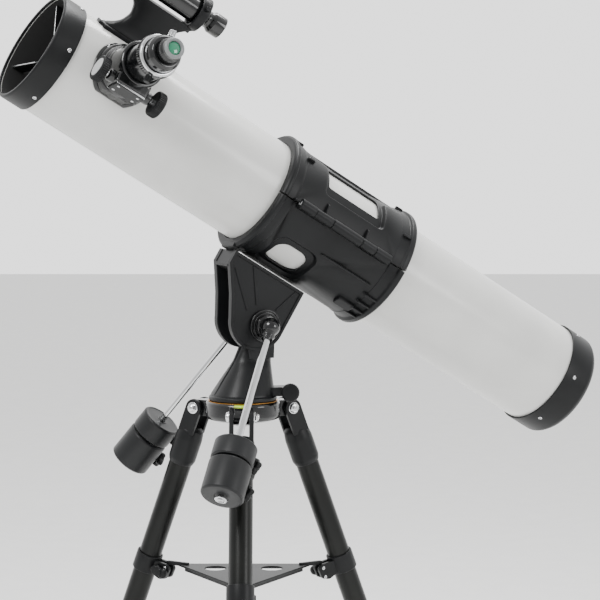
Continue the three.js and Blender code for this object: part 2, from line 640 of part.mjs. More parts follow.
// The accessory tray: a thin triangle with rounded tips, two eyepiece holes and a tongue
// at each tip that sits in a leg collar's clamp.
function addTray(tripod) {
  const height = -LEG_PIVOT_DROP - COLLAR_AT * Math.cos(LEG_SPLAY);
  const tipR = 118;
  const tips = LEG_ANGLES.map((a) => [tipR * Math.cos(a), tipR * Math.sin(a)]);
  let tray = slab(tips, 3);
  for (const angle of LEG_ANGLES) {
    const tongue = block([40, 6, 6], [tipR - 4, 0, 3]);
    tray = join(tray, tongue.rotateZ(angle));
  }
  for (const x of [-42, 42]) tray = cut(tray, turned(barrel(16, -5, 10), 20).translate(x, 24, 0));
  piece(tripod, "accessory_tray", tray.translate(0, 0, height - 3), "black");
}

// ---- Assembly ------------------------------------------------------------------------------
const telescope = new THREE.Group();
const tripod = frameIn(telescope, [0, 0, HUB_TOP]);
addHub(tripod);
for (const number of [1, 2, 3]) addLeg(tripod, number);
addTray(tripod);

const head = frameIn(tripod, [0, 0, 0], [0, 0, Math.PI + HEADING]);
piece(head, "azimuth_column", columnShape(), "black");
addAzimuthLock(head);
const spindle = join(turned(barrel(6, -34, 30), 12), turned(barrel(12, -38, -30), 6));
piece(tripod, "azimuth_spindle", spindle, "chrome");

const tilting = frameIn(head, [-ALTITUDE_SETBACK, 0, ALTITUDE_HEIGHT], [0, -TILT, 0]);
addYoke(tilting);
addCounterweights(tilting, 1, "front");
addCounterweights(tilting, -1, "rear");

const tube = frameIn(tilting, [0, 0, AXIS_RISE]);
addCradle(tube);
addTubeShell(tube);
addSpider(tube);
addPrimary(tube);
addFocuser(tube);
addFinder(tube);

telescope.updateMatrixWorld(true);
const bounds = new THREE.Box3().setFromObject(telescope, true);
telescope.position.set(-(bounds.min.x + bounds.max.x) / 2, -(bounds.min.y + bounds.max.y) / 2, -bounds.min.z);
telescope.updateMatrixWorld(true);

export default telescope;
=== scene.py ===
import json

import bmesh
import bpy
import numpy as np
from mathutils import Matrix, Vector
from mathutils.geometry import delaunay_2d_cdt


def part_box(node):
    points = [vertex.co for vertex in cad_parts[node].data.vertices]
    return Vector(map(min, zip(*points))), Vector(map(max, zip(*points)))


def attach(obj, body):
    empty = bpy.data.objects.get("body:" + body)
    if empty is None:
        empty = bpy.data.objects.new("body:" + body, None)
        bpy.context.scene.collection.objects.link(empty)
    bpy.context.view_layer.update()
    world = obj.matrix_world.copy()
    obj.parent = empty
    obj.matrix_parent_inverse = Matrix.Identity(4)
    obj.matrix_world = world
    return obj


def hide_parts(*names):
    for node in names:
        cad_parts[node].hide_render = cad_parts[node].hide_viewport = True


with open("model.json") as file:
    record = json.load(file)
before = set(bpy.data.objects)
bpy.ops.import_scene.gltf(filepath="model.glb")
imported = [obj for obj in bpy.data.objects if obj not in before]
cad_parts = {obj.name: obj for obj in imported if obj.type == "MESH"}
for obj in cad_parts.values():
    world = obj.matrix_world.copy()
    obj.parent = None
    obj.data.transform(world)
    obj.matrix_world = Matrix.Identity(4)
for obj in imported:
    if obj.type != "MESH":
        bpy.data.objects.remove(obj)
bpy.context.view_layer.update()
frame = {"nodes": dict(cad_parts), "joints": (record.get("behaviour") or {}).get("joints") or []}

joints = {joint["name"]: joint for joint in frame["joints"]}

# ---- Studio: pale floor, soft light and the camera ----------------------------------------
# The floor is a plain pale sheet. Two large soft lamps from above and one from the camera's
# left give the long highlights on the tube, and the camera stands about three metres away.


def linear(hex_colour):
    """sRGB hex to linear: the standard curve, channel by channel, with alpha 1."""
    channels = np.array([int(hex_colour[i:i + 2], 16) for i in (1, 3, 5)]) / 255
    low, high = channels / 12.92, ((channels + 0.055) / 1.055) ** 2.4
    return (*np.where(channels <= 0.04045, low, high).tolist(), 1.0)


def add_node(material, kind, settings=None, links=None):
    """One shader node with its settings, and links from other nodes' outputs into its inputs."""
    node = material.node_tree.nodes.new(kind)
    for key, value in (settings or {}).items():
        if key in node.inputs:
            node.inputs[key].default_value = value
        else:
            setattr(node, key, value)
    for key, (source, output) in (links or {}).items():
        material.node_tree.links.new(source.outputs[output], node.inputs[key])
    return node


def new_material(name):
    """An empty node material and its surface shader, already joined to the output."""
    material = bpy.data.materials.new(name)
    material.use_nodes = True
    material.node_tree.nodes.clear()
    shader = add_node(material, "ShaderNodeBsdfPrincipled")
    add_node(material, "ShaderNodeOutputMaterial", links={"Surface": (shader, "BSDF")})
    return material, shader


def link(material, source, output, node, key):
    material.node_tree.links.new(source.outputs[output], node.inputs[key])


def grained(name, colours, roughness, grain_mm, bump_mm, metallic=0.0, **shader_settings):
    """A surface whose tone and gloss drift between two values over a noise of grain_mm,
    with a bump of bump_mm in height on the same noise."""
    material, shader = new_material(name)
    place = add_node(material, "ShaderNodeTexCoord")
    noise = add_node(
        material, "ShaderNodeTexNoise",
        {"Scale": 1000 / grain_mm, "Detail": 3.0, "Roughness": 0.55},
        {"Vector": (place, "Object")})
    broad = add_node(
        material, "ShaderNodeTexNoise", {"Scale": 1000 / 60, "Detail": 2.0},
        {"Vector": (place, "Object")})
    tone = add_node(material, "ShaderNodeValToRGB", links={"Fac": (broad, "Fac")})
    tone.color_ramp.elements[0].position = 0.3
    tone.color_ramp.elements[0].color = linear(colours[0])
    tone.color_ramp.elements[1].position = 0.7
    tone.color_ramp.elements[1].color = linear(colours[1])
    link(material, tone, "Color", shader, "Base Color")
    gloss = add_node(
        material, "ShaderNodeMapRange", {"To Min": roughness[0], "To Max": roughness[1]},
        {"Value": (noise, "Fac")})
    link(material, gloss, "Result", shader, "Roughness")
    bump = add_node(
        material, "ShaderNodeBump", {"Strength": 0.6, "Distance": bump_mm / 1000},
        {"Height": (noise, "Fac")})
    link(material, bump, "Normal", shader, "Normal")
    shader.inputs["Metallic"].default_value = metallic
    for key, value in shader_settings.items():
        shader.inputs[key.replace("_", " ")].default_value = value
    return material


def mesh_object(name, points, faces, smooth_degrees=35):
    """A mesh object at the origin from points in row metres; edges sharper than the angle stay crisp."""
    mesh = bpy.data.meshes.new(name)
    mesh.from_pydata(np.asarray(points, float).tolist(), [], faces)
    mesh.validate()
    mesh.shade_smooth()
    mesh.set_sharp_from_angle(angle=np.radians(smooth_degrees))
    piece = bpy.data.objects.new(name, mesh)
    bpy.context.scene.collection.objects.link(piece)
    return piece


floor_half = 4.0
floor = mesh_object(
    "studio_floor",
    [(-floor_half, -floor_half, 0), (floor_half, -floor_half, 0), (floor_half, 12, 0), (-floor_half, 12, 0)],
    [(0, 1, 2, 3)])
# Matt white paper, with hardly any sheen.
floor.data.materials.append(grained("pale_paper_floor", ("#F4F4F3", "#F7F7F6"), (0.8, 0.9), 3, 0.02))

world = bpy.data.worlds.new("studio_world")
world.use_nodes = True
backdrop = world.node_tree.nodes["Background"]
backdrop.inputs["Color"].default_value = (1, 1, 1, 1)
coordinates = add_node(world, "ShaderNodeTexCoord")
direction = add_node(world, "ShaderNodeSeparateXYZ", links={"Vector": (coordinates, "Generated")})
brightness = add_node(
    world, "ShaderNodeMapRange", {"From Min": -0.6, "From Max": 1.0, "To Min": 0.8, "To Max": 2.05},
    {"Value": (direction, "Y")})
world.node_tree.links.new(brightness.outputs["Result"], backdrop.inputs["Strength"])
bpy.context.scene.world = world


def soft_lamp(name, position, target, size, watts):
    """A square area lamp at position that faces target."""
    light = bpy.data.lights.new(name, "AREA")
    light.size = size
    light.energy = watts
    lamp = bpy.data.objects.new(name, light)
    direction = np.array(target) - np.array(position)
    lamp.location = position
    lamp.rotation_euler = Vector(direction).to_track_quat("-Z", "Y").to_euler()
    bpy.context.scene.collection.objects.link(lamp)


middle = np.array(joints["azimuth"]["pos_m"])
soft_lamp("key_lamp", middle + [-1.4, -2.0, 2.4], middle + [0, 0, 0.1], 1.3, 85)
soft_lamp("side_lamp", middle + [2.4, -1.4, 0.7], middle, 1.0, 22)
soft_lamp("top_lamp", middle + [0.6, 0.9, 2.2], middle, 1.2, 60)

camera_data = bpy.data.cameras.new("camera")
camera_data.sensor_width = 36
camera_data.lens = 138
camera = bpy.data.objects.new("camera", camera_data)
camera.location = middle + np.array([84, -3356, 435]) / 1000
camera.rotation_euler = (np.radians(90 - 4.9), 0, 0)
bpy.context.scene.collection.objects.link(camera)
bpy.context.scene.camera = camera

# ---- Tripod hub ------------------------------------------------------------------------
# An aluminium casting in gloss black enamel. The head turns on its top, and three flat tabs stand
# out of its side to carry the legs, each on one cross bolt with an acorn nut.

MM = 0.001
UP = np.array([0.0, 0.0, 1.0])


def axes(origin, x, y, z):
    """A 4 by 4 placing matrix from an origin in metres and three unit axes."""
    matrix = np.eye(4)
    matrix[:3, 0], matrix[:3, 1], matrix[:3, 2], matrix[:3, 3] = x, y, z, origin
    return matrix


def moved(matrix, offset_mm=(0, 0, 0), turn="", degrees=0.0):
    """The matrix shifted by an offset in its own millimetres, then turned about one own axis."""
    shift, rotation = np.eye(4), np.eye(4)
    shift[:3, 3] = np.array(offset_mm) * MM
    cosine, sine = np.cos(np.radians(degrees)), np.sin(np.radians(degrees))
    if turn:
        i, j = {"x": (1, 2), "y": (2, 0), "z": (0, 1)}[turn]
        rotation[i, i] = rotation[j, j] = cosine
        rotation[i, j], rotation[j, i] = -sine, sine
    return matrix @ shift @ rotation


def placed(matrix, points_mm):
    """Points in a part's own millimetres, carried to row metres."""
    points = np.asarray(points_mm, float) * MM
    return points @ matrix[:3, :3].T + matrix[:3, 3]


def rounded(points, radius, steps=4, closed=False):
    """An outline with each corner traded for a quadratic curve that starts radius before it."""
    corners = np.asarray(points, float)
    if radius == 0:
        return corners
    result = [] if closed else [corners[0]]
    count = len(corners)
    for i in (range(count) if closed else range(1, count - 1)):
        corner = corners[i]
        back, ahead = corners[i - 1] - corner, corners[(i + 1) % count] - corner
        reach = min(radius, 0.45 * np.linalg.norm(back), 0.45 * np.linalg.norm(ahead))
        start = corner + back / np.linalg.norm(back) * reach
        end = corner + ahead / np.linalg.norm(ahead) * reach
        t = np.linspace(0, 1, steps + 1)[:, None]
        result.extend((1 - t) ** 2 * start + 2 * t * (1 - t) * corner + t ** 2 * end)
    if not closed:
        result.append(corners[-1])
    return np.array(result)


def grid_faces(rows, columns, close_rows=False):
    """Quads over a rows by columns grid whose columns close on themselves."""
    row = np.arange(rows if close_rows else rows - 1)[:, None]
    column = np.arange(columns)[None, :]
    next_row, next_column = (row + 1) % rows, (column + 1) % columns
    corners = [
        row * columns + column, row * columns + next_column,
        next_row * columns + next_column, next_row * columns + column]
    return np.stack(corners, -1).reshape(-1, 4).tolist()


def face_out(piece):
    """Merges points that coincide, such as a pole's ring, and turns every face outwards."""
    working = bmesh.new()
    working.from_mesh(piece.data)
    bmesh.ops.remove_doubles(working, verts=working.verts, dist=1e-6)
    bmesh.ops.dissolve_degenerate(working, edges=working.edges, dist=1e-7)
    bmesh.ops.recalc_face_normals(working, faces=working.faces)
    working.to_mesh(piece.data)
    working.free()
    piece.data.shade_smooth()
    piece.data.set_sharp_from_angle(angle=np.radians(35))
    return piece


def turned(name, profile, matrix, corner=0.6, segments=96, ring=False, flutes=(0, 0.0)):
    """A surface of revolution: [radius, z] points, corners eased, swept round the matrix's Z.
    flutes is (count, depth): the outermost radius falls by that depth that often round the turn."""
    outline = rounded(profile, corner, closed=ring)
    angle = np.linspace(0, 2 * np.pi, segments, endpoint=False)
    radius = np.repeat(outline[:, :1], segments, 1)
    if flutes[0]:
        rim = outline[:, :1] > outline[:, 0].max() - 0.8
        radius = radius - rim * flutes[1] * (0.5 - 0.5 * np.cos(flutes[0] * angle))
    points = np.stack([
        radius * np.cos(angle), radius * np.sin(angle), np.repeat(outline[:, 1:], segments, 1)], -1)
    faces = grid_faces(len(outline), segments, close_rows=ring)
    return face_out(mesh_object(name, placed(matrix, points.reshape(-1, 3)), faces))


def inside(loop, spots):
    """Which spots a loop encloses: those where a line towards +X crosses its edges an odd number of times."""
    x, y = loop.T
    next_x, next_y = np.roll(loop, -1, 0).T
    level = spots[:, 1:]
    rise = np.where(next_y == y, 1, next_y - y)
    spans = (y > level) != (next_y > level)
    beyond = x + (level - y) / rise * (next_x - x) > spots[:, :1]
    return np.sum(spans & beyond, 1) % 2


def plate(name, outline, matrix, low, high, edge=1.0, corner=2.0, holes=()):
    """A flat piece cut to an outline in the matrix's XY, from low to high along its Z. Each rim
    follows a quarter circle of radius edge, its levels being the outline drawn in along its normals."""
    loops = [rounded(outline, corner, closed=True), *[np.asarray(hole, float) for hole in holes]]
    turn = np.linspace(0, np.pi / 2, 4)
    inset = np.concatenate([edge * (1 - np.sin(turn)), edge * (1 - np.sin(turn))[::-1]])
    level = np.concatenate([low + edge * (1 - np.cos(turn)), high - edge * (1 - np.cos(turn))[::-1]])
    points, faces, flat, corners, border, start = [], [], [], [], [], 0
    for number, loop in enumerate(loops):
        loop = loop[np.linalg.norm(loop - np.roll(loop, 1, 0), axis=1) > 1e-6]
        x, y = loop.T
        area = np.sum(x * np.roll(y, -1) - np.roll(x, -1) * y)
        loop = loop if (area > 0) == (number == 0) else loop[::-1]
        ahead, behind = np.roll(loop, -1, 0) - loop, loop - np.roll(loop, 1, 0)
        along = ahead / np.linalg.norm(ahead, axis=1)[:, None]
        along += behind / np.linalg.norm(behind, axis=1)[:, None]
        along /= np.linalg.norm(along, axis=1)[:, None]
        out = np.stack([along[:, 1], -along[:, 0]], -1)
        rows = np.concatenate([
            (loop[None] - out[None] * inset[:, None, None]),
            np.repeat(level[:, None, None], len(loop), 1)], -1)
        points.append(rows.reshape(-1, 3))
        faces += (np.array(grid_faces(len(rows), len(loop))) + start).tolist()
        first = len(flat)
        corners += [Vector(corner) for corner in loop.tolist()]
        flat += [(start + i, start + (len(rows) - 1) * len(loop) + i) for i in range(len(loop))]
        border += [(first + i, first + (i + 1) % len(loop)) for i in range(len(loop))]
        start += rows.size // 3
    points = np.concatenate(points)
    found = delaunay_2d_cdt(corners, border, [], 1, 1e-6)
    origin = np.array([sources[0] for sources in found[3]])
    triangles = np.array(found[2])
    middles = np.array([tuple(spot) for spot in found[0]])[triangles].mean(1)
    solid = sum(inside(loop, middles) for loop in loops) % 2 == 1
    for side in (0, 1):
        faces += np.array(flat)[:, side][origin[triangles[solid]]].tolist()
    piece = face_out(mesh_object(name, placed(matrix, points), faces))
    weighted = piece.modifiers.new("even_faces", "WEIGHTED_NORMAL")
    weighted.keep_sharp = True
    return piece


def fit(piece, body, material, slot, *nodes):
    """Gives a piece its material and its moving body, and hides the CAD nodes it stands for; slot is not
    used.
    """
    piece.data.materials.append(material)
    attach(piece, body)
    if nodes:
        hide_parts(*nodes)
    return piece


def oblong(x0, x1, y0, y1):
    """The four corners of a rectangle."""
    return [(x0, y0), (x1, y0), (x1, y1), (x0, y1)]


def arc(x, y, radius, start, end, steps=24):
    """Points on a circle from one angle to another, in degrees."""
    angle = np.radians(np.linspace(start, end, steps))
    return [(x + radius * np.cos(a), y + radius * np.sin(a)) for a in angle]


# Gloss enamel on a casting: dark, nearly mirror smooth, and a little wavy.
gloss_black_enamel = grained(
    "gloss_black_enamel", ("#08090A", "#0D0E0F"), (0.12, 0.22), 6, 0.02, Coat_Weight=0.3)
# Polished chrome over steel, bright and nearly mirror smooth.
chrome_plate = grained("chrome_plate", ("#D2D3D4", "#DEDFE0"), (0.07, 0.13), 8, 0.004, metallic=1.0)
# Brass turned on a lathe and left bare.
brushed_brass = grained("brushed_brass", ("#B07A3A", "#C08A46"), (0.25, 0.35), 1, 0.01, metallic=1.0)

hub_frame = axes(np.array(joints["azimuth"]["pos_m"]), *np.eye(3))
HUB_R = 55
PIVOT_R = 76
PIVOT_DROP = 15
TAB_HALF = 11
hub = turned(
    "hub_casting",
    [[0, -29], [46, -29], [HUB_R - 2, -26], [HUB_R, -22], [HUB_R, -4], [52.5, -0.6], [0, -0.6]],
    hub_frame, 1.8)
fit(hub, "tripod", gloss_black_enamel, "black_enamel", "tripod_hub")
dial_line = turned(
    "dial_line", [[48, -0.5], [51.6, -0.5], [51.6, 0.2], [48, 0.2]], hub_frame, 0.1, ring=True)
fit(dial_line, "tripod", brushed_brass, "chrome_steel")

LEGS = (1, 2, 3)


def leg_frame(number):
    """A leg's own frame: origin on its pivot bolt, +Z down the leg and +X facing the middle."""
    down = np.array(joints[f"leg_extend_{number}"]["axis"])
    outward = np.array([down[0], down[1], 0]) / np.hypot(down[0], down[1])
    across = np.cross(UP, outward)
    return axes(np.array(joints[f"leg_fold_{number}"]["pos_m"]), np.cross(across, down), across, down)


for number in LEGS:
    leg = leg_frame(number)
    outward = np.cross(leg[:3, 1], UP)
    tab_frame = axes(leg[:3, 3], outward, UP, -leg[:3, 1])
    tab = plate(
        f"hub_tab_{number}", [(-42, 12), *arc(0, 0, 12, 90, -90), (-42, -12)],
        tab_frame, -TAB_HALF, TAB_HALF, 1.2, 0)
    fit(tab, "tripod", gloss_black_enamel, "black_enamel")

# ---- Bubble level ----------------------------------------------------------------------
# A round acrylic vial of lime-green spirit, pressed into the hub over the front leg. Its lid
# is clear and slightly domed, and a bubble lies under it.

# Dyed acrylic with the spirit behind it: glossy, with a faint painted glow standing in for light coming
# through it from above.
lime_acrylic = grained(
    "lime_acrylic", ("#B4DC1E", "#C2E830"), (0.06, 0.12), 8, 0.005,
    Coat_Weight=1.0, Emission_Strength=0.18, Emission_Color=linear("#B8E020"))
level_low, level_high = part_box("bubble_level")
level_middle = (np.array(level_low) + np.array(level_high)) / 2 - [0, 4 * MM, 0]
level_frame = axes(level_middle, *np.eye(3))
level_half = (level_high.z - level_low.z) / 2 / MM
level_r = (level_high.x - level_low.x) / 2 / MM
vial = turned(
    "level_vial",
    [[0, -level_half], [level_r, -level_half], [level_r, level_half - 1.2], [level_r - 2.5, level_half],
     [0, level_half]],
    level_frame, 1.0, 64)
fit(vial, "tripod", lime_acrylic, "lime_acrylic", "bubble_level")
level_ring = turned(
    "level_ring",
    [[level_r - 4.6, level_half - 0.4], [level_r - 3.9, level_half - 0.4],
     [level_r - 3.9, level_half + 0.15], [level_r - 4.6, level_half + 0.15]],
    level_frame, 0.1, 64, ring=True)
fit(level_ring, "tripod", gloss_black_enamel, "black_enamel")

# ---- Legs ------------------------------------------------------------------------------
# Each leg is a black anodised aluminium tube in a cast fork. Moulded collars hold the tray's
# clamp and, at the lower end, the clamp of the inner leg, which ends in a rubber foot.

# Drawn aluminium tube, anodised black: a soft sheen along its length.
black_anodised = grained(
    "black_anodised_aluminium", ("#101110", "#171816"), (0.26, 0.36), 5, 0.01, metallic=0.3,
    Specular_IOR_Level=0.3)
# ABS from a fine-grained mould, satin black.
moulded_black_abs = grained(
    "moulded_black_abs", ("#0E0F10", "#151617"), (0.34, 0.46), 0.8, 0.03, Specular_IOR_Level=0.22)
# Moulded rubber, dull and a little grey.
black_rubber = grained("moulded_black_rubber", ("#151515", "#1C1C1C"), (0.7, 0.85), 1.2, 0.1)
# Zinc-plated steel, bright but not polished.
zinc_screw = grained(
    "bright_zinc_plate", ("#C4C5C6", "#D8D9DA"), (0.18, 0.3), 2, 0.01, metallic=1.0)
LEG_R = 17
COLLAR_AT = 258
TUBE_END = 640
LEG_LENGTH = 740
ON_Y = dict(turn="x", degrees=-90)  # lays a turned piece's own axis along +Y


def screw_heads(name, places, radius, rise, body, material=zinc_screw, slot_name="chrome_steel"):
    """Pan-head screws in one mesh: each is a disc whose height falls off with the fourth power of
    the distance from its middle, with a cross-shaped recess sunk in it."""
    rings, spokes = 10, 32
    share = np.linspace(1, 0, rings)[:, None]
    angle = np.linspace(0, 2 * np.pi, spokes, endpoint=False)[None, :]
    x, y = radius * share * np.cos(angle), radius * share * np.sin(angle)
    arm, slit = 0.62 * radius, 0.17 * radius
    in_cross = ((abs(x) < slit) & (abs(y) < arm)) | ((abs(y) < slit) & (abs(x) < arm))
    z = np.where(in_cross, 0.35 * rise, rise * (1 - 0.45 * share ** 4))
    skirt = np.stack([radius * np.cos(angle[0]), radius * np.sin(angle[0]), np.full(spokes, -0.4)], -1)
    head = np.concatenate([skirt, np.stack([x, y, z], -1).reshape(-1, 3)])
    shape = [*grid_faces(rings + 1, spokes), list(range(spokes))]
    points = np.concatenate([placed(matrix, head) for matrix in places])
    faces = [[i + copy * len(head) for i in face] for copy in range(len(places)) for face in shape]
    return fit(face_out(mesh_object(name, points, faces)), body, material, slot_name)


def lobed(radius, lobes, depth, steps=24):
    """A knob's outline: the radius falls by depth between its lobes as a raised cosine."""
    angle = np.linspace(0, 2 * np.pi, lobes * steps, endpoint=False)
    reach = radius - depth * (0.5 - 0.5 * np.cos(lobes * angle)) ** 1.3
    return np.stack([reach * np.cos(angle), reach * np.sin(angle)], -1)


def hand_knob(name, matrix, body, radius, lobes, depth, thick, stem_r, stem_end, *nodes):
    """A moulded knob of round lobes about the matrix's Z, with a bright screw through its middle."""
    head = plate(f"{name}_head", lobed(radius, lobes, depth), matrix, 0, thick, min(3.2, thick / 3), 0)
    fit(head, body, moulded_black_abs, "black_abs", *nodes)
    boss = turned(
        f"{name}_boss", [[0, -3], [radius * 0.42, -3], [radius * 0.42, thick + 1.6], [0, thick + 1.6]],
        matrix, 1.0, 48)
    fit(boss, body, moulded_black_abs, "black_abs")
    stem = turned(f"{name}_screw", [[0, stem_end], [stem_r, stem_end], [stem_r, 0], [0, 0]], matrix, 0.3, 24)
    fit(stem, body, zinc_screw, "chrome_steel")


def reshape(piece, change):
    """Moves a piece's points, in row metres, to the places that change works out for them."""
    points = np.empty(3 * len(piece.data.vertices))
    piece.data.vertices.foreach_get("co", points)
    piece.data.vertices.foreach_set("co", change(points.reshape(-1, 3)).ravel())


def worn_flat(points):
    """Points under the ground are lifted onto it, as a foot's sole is."""
    return np.maximum(points, [-np.inf, -np.inf, 0])


for number in LEGS:
    leg, upper, lower = leg_frame(number), f"leg_{number}", f"leg_{number}_extension"
    ear_outline = [(-13, 40), (-13, 0), *arc(0, 0, 13, 180, 360), (13, 40)]
    side_view = axes(leg[:3, 3], leg[:3, 0], leg[:3, 2], -leg[:3, 1])
    for side, low in (("near", TAB_HALF + 0.4), ("far", -TAB_HALF - 6.6)):
        ear = plate(f"leg_{number}_{side}_ear", ear_outline, side_view, low, low + 6.2, 1.0, 0)
        fit(ear, upper, moulded_black_abs, "leg_paint")
    socket = turned(
        f"leg_{number}_socket",
        [[0, 30], [12, 30], [18.4, 36], [20.5, 50], [20.5, 84], [18.2, 91], [16, 91], [16, 60], [0, 60]],
        leg, 2.0)
    fit(socket, upper, moulded_black_abs, "black_abs")
    tube = turned(
        f"leg_{number}_tube",
        [[LEG_R - 1.5, 60], [LEG_R, 60], [LEG_R, TUBE_END - 10], [LEG_R - 1.5, TUBE_END - 10]],
        leg, 0.4, 96, ring=True)
    fit(tube, upper, black_anodised, "leg_paint", f"leg_{number}_upper")
    bolt_frame = moved(leg, **ON_Y)
    bolt = turned(
        f"leg_{number}_bolt",
        [[0, -23.2], [3.2, -23.2], [3.8, -21.6], [5.4, -21.2], [6.4, -22.4], [7, -21], [7.4, -19],
         [8.6, -18.6],
         [8.6, -17.4], [4, -17.4], [4, 17.4], [8.6, 17.4], [8.6, 18.6], [6.2, 19], [0, 19]],
        bolt_frame, 0.5, 72)
    fit(bolt, upper, chrome_plate, "chrome_steel")
    nut = turned(f"leg_{number}_nut", [[0, 18.6], [6.9, 18.6], [6.9, 22.6], [0, 22.6]], bolt_frame, 0.4, 6)
    fit(nut, upper, chrome_plate, "chrome_steel")
    cap = turned(
        f"leg_{number}_nut_cap", [[0, 22], [5.2, 22], [5.2, 23.4], *[
            (5.2 * np.cos(a), 23.4 + 2.4 * np.sin(a)) for a in np.radians([25, 50, 70])], [0, 25.9]],
        bolt_frame, 0.2, 48)
    fit(cap, upper, chrome_plate, "chrome_steel")

    collar = turned(
        f"leg_{number}_collar",
        [[17.1, COLLAR_AT - 14], [20, COLLAR_AT - 14], [20, COLLAR_AT + 14], [17.1, COLLAR_AT + 14]],
        leg, 1.5, 96, ring=True)
    fit(collar, upper, moulded_black_abs, "black_abs")
    jaw = [(16, COLLAR_AT - 9), (38, COLLAR_AT - 13), (45, COLLAR_AT - 8), (44, COLLAR_AT + 8),
           (33, COLLAR_AT + 14), (16, COLLAR_AT + 11)]
    for side, low in (("near", 3.6), ("far", -10)):
        cheek = plate(f"leg_{number}_{side}_jaw", jaw, side_view, low, low + 6.4, 0.9, 3)
        fit(cheek, upper, moulded_black_abs, "black_abs")
    jaw_screws = []
    for x, z in ((39, COLLAR_AT + 7), (37, COLLAR_AT - 7)):
        jaw_screws.append(moved(moved(leg, (x, 10, z)), **ON_Y))
        jaw_screws.append(moved(moved(leg, (x, -10, z)), turn="x", degrees=90))
    screw_heads(f"leg_{number}_jaw_screws", jaw_screws, 2.6, 1.2, upper)
    tray_knob = moved(moved(leg, (33, 12, COLLAR_AT)), **ON_Y)
    hand_knob(f"tray_wing_knob_{number}", tray_knob, f"tray_knob_{number}", 14, 2, 8.5, 8, 3, -8,
              f"tray_knob_{number}")

    lock_ring = turned(
        f"leg_{number}_lock_ring",
        [[15.1, TUBE_END - 42], [18.5, TUBE_END - 42], [20, TUBE_END - 38], [20, TUBE_END - 2],
         [18.5, TUBE_END],
         [15.1, TUBE_END]], leg, 1.2, 96, ring=True)
    fit(lock_ring, upper, moulded_black_abs, "black_abs")
    boss = plate(
        f"leg_{number}_lock_boss", oblong(-7, 7, TUBE_END - 29, TUBE_END - 11),
        axes(leg[:3, 3], leg[:3, 1], leg[:3, 2], leg[:3, 0]), -29, -17, 1.2, 3)
    fit(boss, upper, moulded_black_abs, "black_abs")
    lock = moved(moved(leg, (-30, 0, TUBE_END - 20)), turn="y", degrees=-90)
    hand_knob(f"leg_lock_knob_{number}", lock, f"leg_lock_{number}", 15, 3, 4.5, 11, 3, -5,
              f"leg_lock_{number}")

    inner = turned(
        f"leg_{number}_inner_tube", [[13.4, 330], [15, 330], [15, LEG_LENGTH - 30], [13.4, LEG_LENGTH - 30]],
        leg, 0.3, 80, ring=True)
    fit(inner, lower, chrome_plate, "leg_paint", f"leg_{number}_lower")
    foot = turned(
        f"leg_{number}_foot",
        [[0, LEG_LENGTH - 34], [17, LEG_LENGTH - 34], [18, LEG_LENGTH - 30], [17.4, LEG_LENGTH - 27],
         [17.4, LEG_LENGTH - 24], [18.2, LEG_LENGTH - 21], [19, LEG_LENGTH + 8], [0, LEG_LENGTH + 8]],
        leg, 1.2, 96)
    reshape(foot, worn_flat)
    fit(foot, lower, black_rubber, "black_abs")

# ---- Accessory tray --------------------------------------------------------------------
# A pressed aluminium triangle in satin black, with rolled rims and two round eyepiece holes. A
# tongue at each tip sits in the jaws of a leg collar.

tray_low, tray_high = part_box("accessory_tray")
tray_frame = axes(np.array([hub_frame[0, 3], hub_frame[1, 3], tray_low.z]), *np.eye(3))
TIP_R = 118
tips = [(TIP_R * np.cos(a), TIP_R * np.sin(a)) for a in np.radians([-90, 30, 150])]
holes = [arc(x, 24, 16, 0, 352.5, 48) for x in (-42, 42)]
tray = plate("tray_plate", tips, tray_frame, 0, 3, 0.9, 9, holes)
fit(tray, "tray", moulded_black_abs, "black_abs", "accessory_tray")
for number in range(3):
    angle = -90 + 120 * number
    tongue_frame = moved(tray_frame, turn="z", degrees=angle)
    tongue = plate(f"tray_tongue_{number + 1}", oblong(96, 134, -3, 3), tongue_frame, 0.2, 6, 0.8, 2)
    fit(tongue, "tray", moulded_black_abs, "black_abs")
    rim_frame = moved(tray_frame, turn="z", degrees=angle + 60)
    rim_at, rim_half = TIP_R / 2 - 3, TIP_R * np.sqrt(3) / 2 - 26
    rim = plate(
        f"tray_rim_{number + 1}", oblong(rim_at, rim_at + 2.2, -rim_half, rim_half), rim_frame, -4.5, 2.5,
        0.7, 1)
    fit(rim, "tray", moulded_black_abs, "black_abs")

# ---- Azimuth column --------------------------------------------------------------------
# A hollow aluminium casting in satin black that turns on the hub: a flange, a cone that leans
# back as it narrows, and a lug at its top for the altitude axle.

forward = np.array(joints["tube_balance"]["axis"])
sideways = np.array(joints["altitude"]["axis"])
upward = np.cross(forward, sideways)
level_forward = np.cross(sideways, UP)
head_frame = axes(hub_frame[:3, 3], level_forward, sideways, UP)
LUG_HALF = 19.5
LUG_X, LUG_Z = -22, 111
# Stoved satin enamel over a casting.
satin_black_enamel = grained(
    "satin_black_enamel", ("#101112", "#18191A"), (0.3, 0.42), 1.5, 0.03, Specular_IOR_Level=0.25)


def lofted(name, levels, matrix, power=2.5, sides=96, corner=2.0):
    """Rounded boxes stacked along Z: each level is [z, middle x, half x, half y], and its outline is
    the superellipse where the power of x over half x and that of y over half y add up to one."""
    rows = rounded(levels, corner)
    angle = np.linspace(0, 2 * np.pi, sides, endpoint=False)
    cosine, sine = np.cos(angle), np.sin(angle)
    x = rows[:, 1:2] + rows[:, 2:3] * np.sign(cosine) * abs(cosine) ** (2 / power)
    y = rows[:, 3:4] * np.sign(sine) * abs(sine) ** (2 / power)
    points = np.stack([x, y, np.repeat(rows[:, :1], sides, 1)], -1).reshape(-1, 3)
    last = (len(rows) - 1) * sides
    faces = [*grid_faces(len(rows), sides), list(range(sides)), list(range(last, last + sides))]
    return face_out(mesh_object(name, placed(matrix, points), faces))


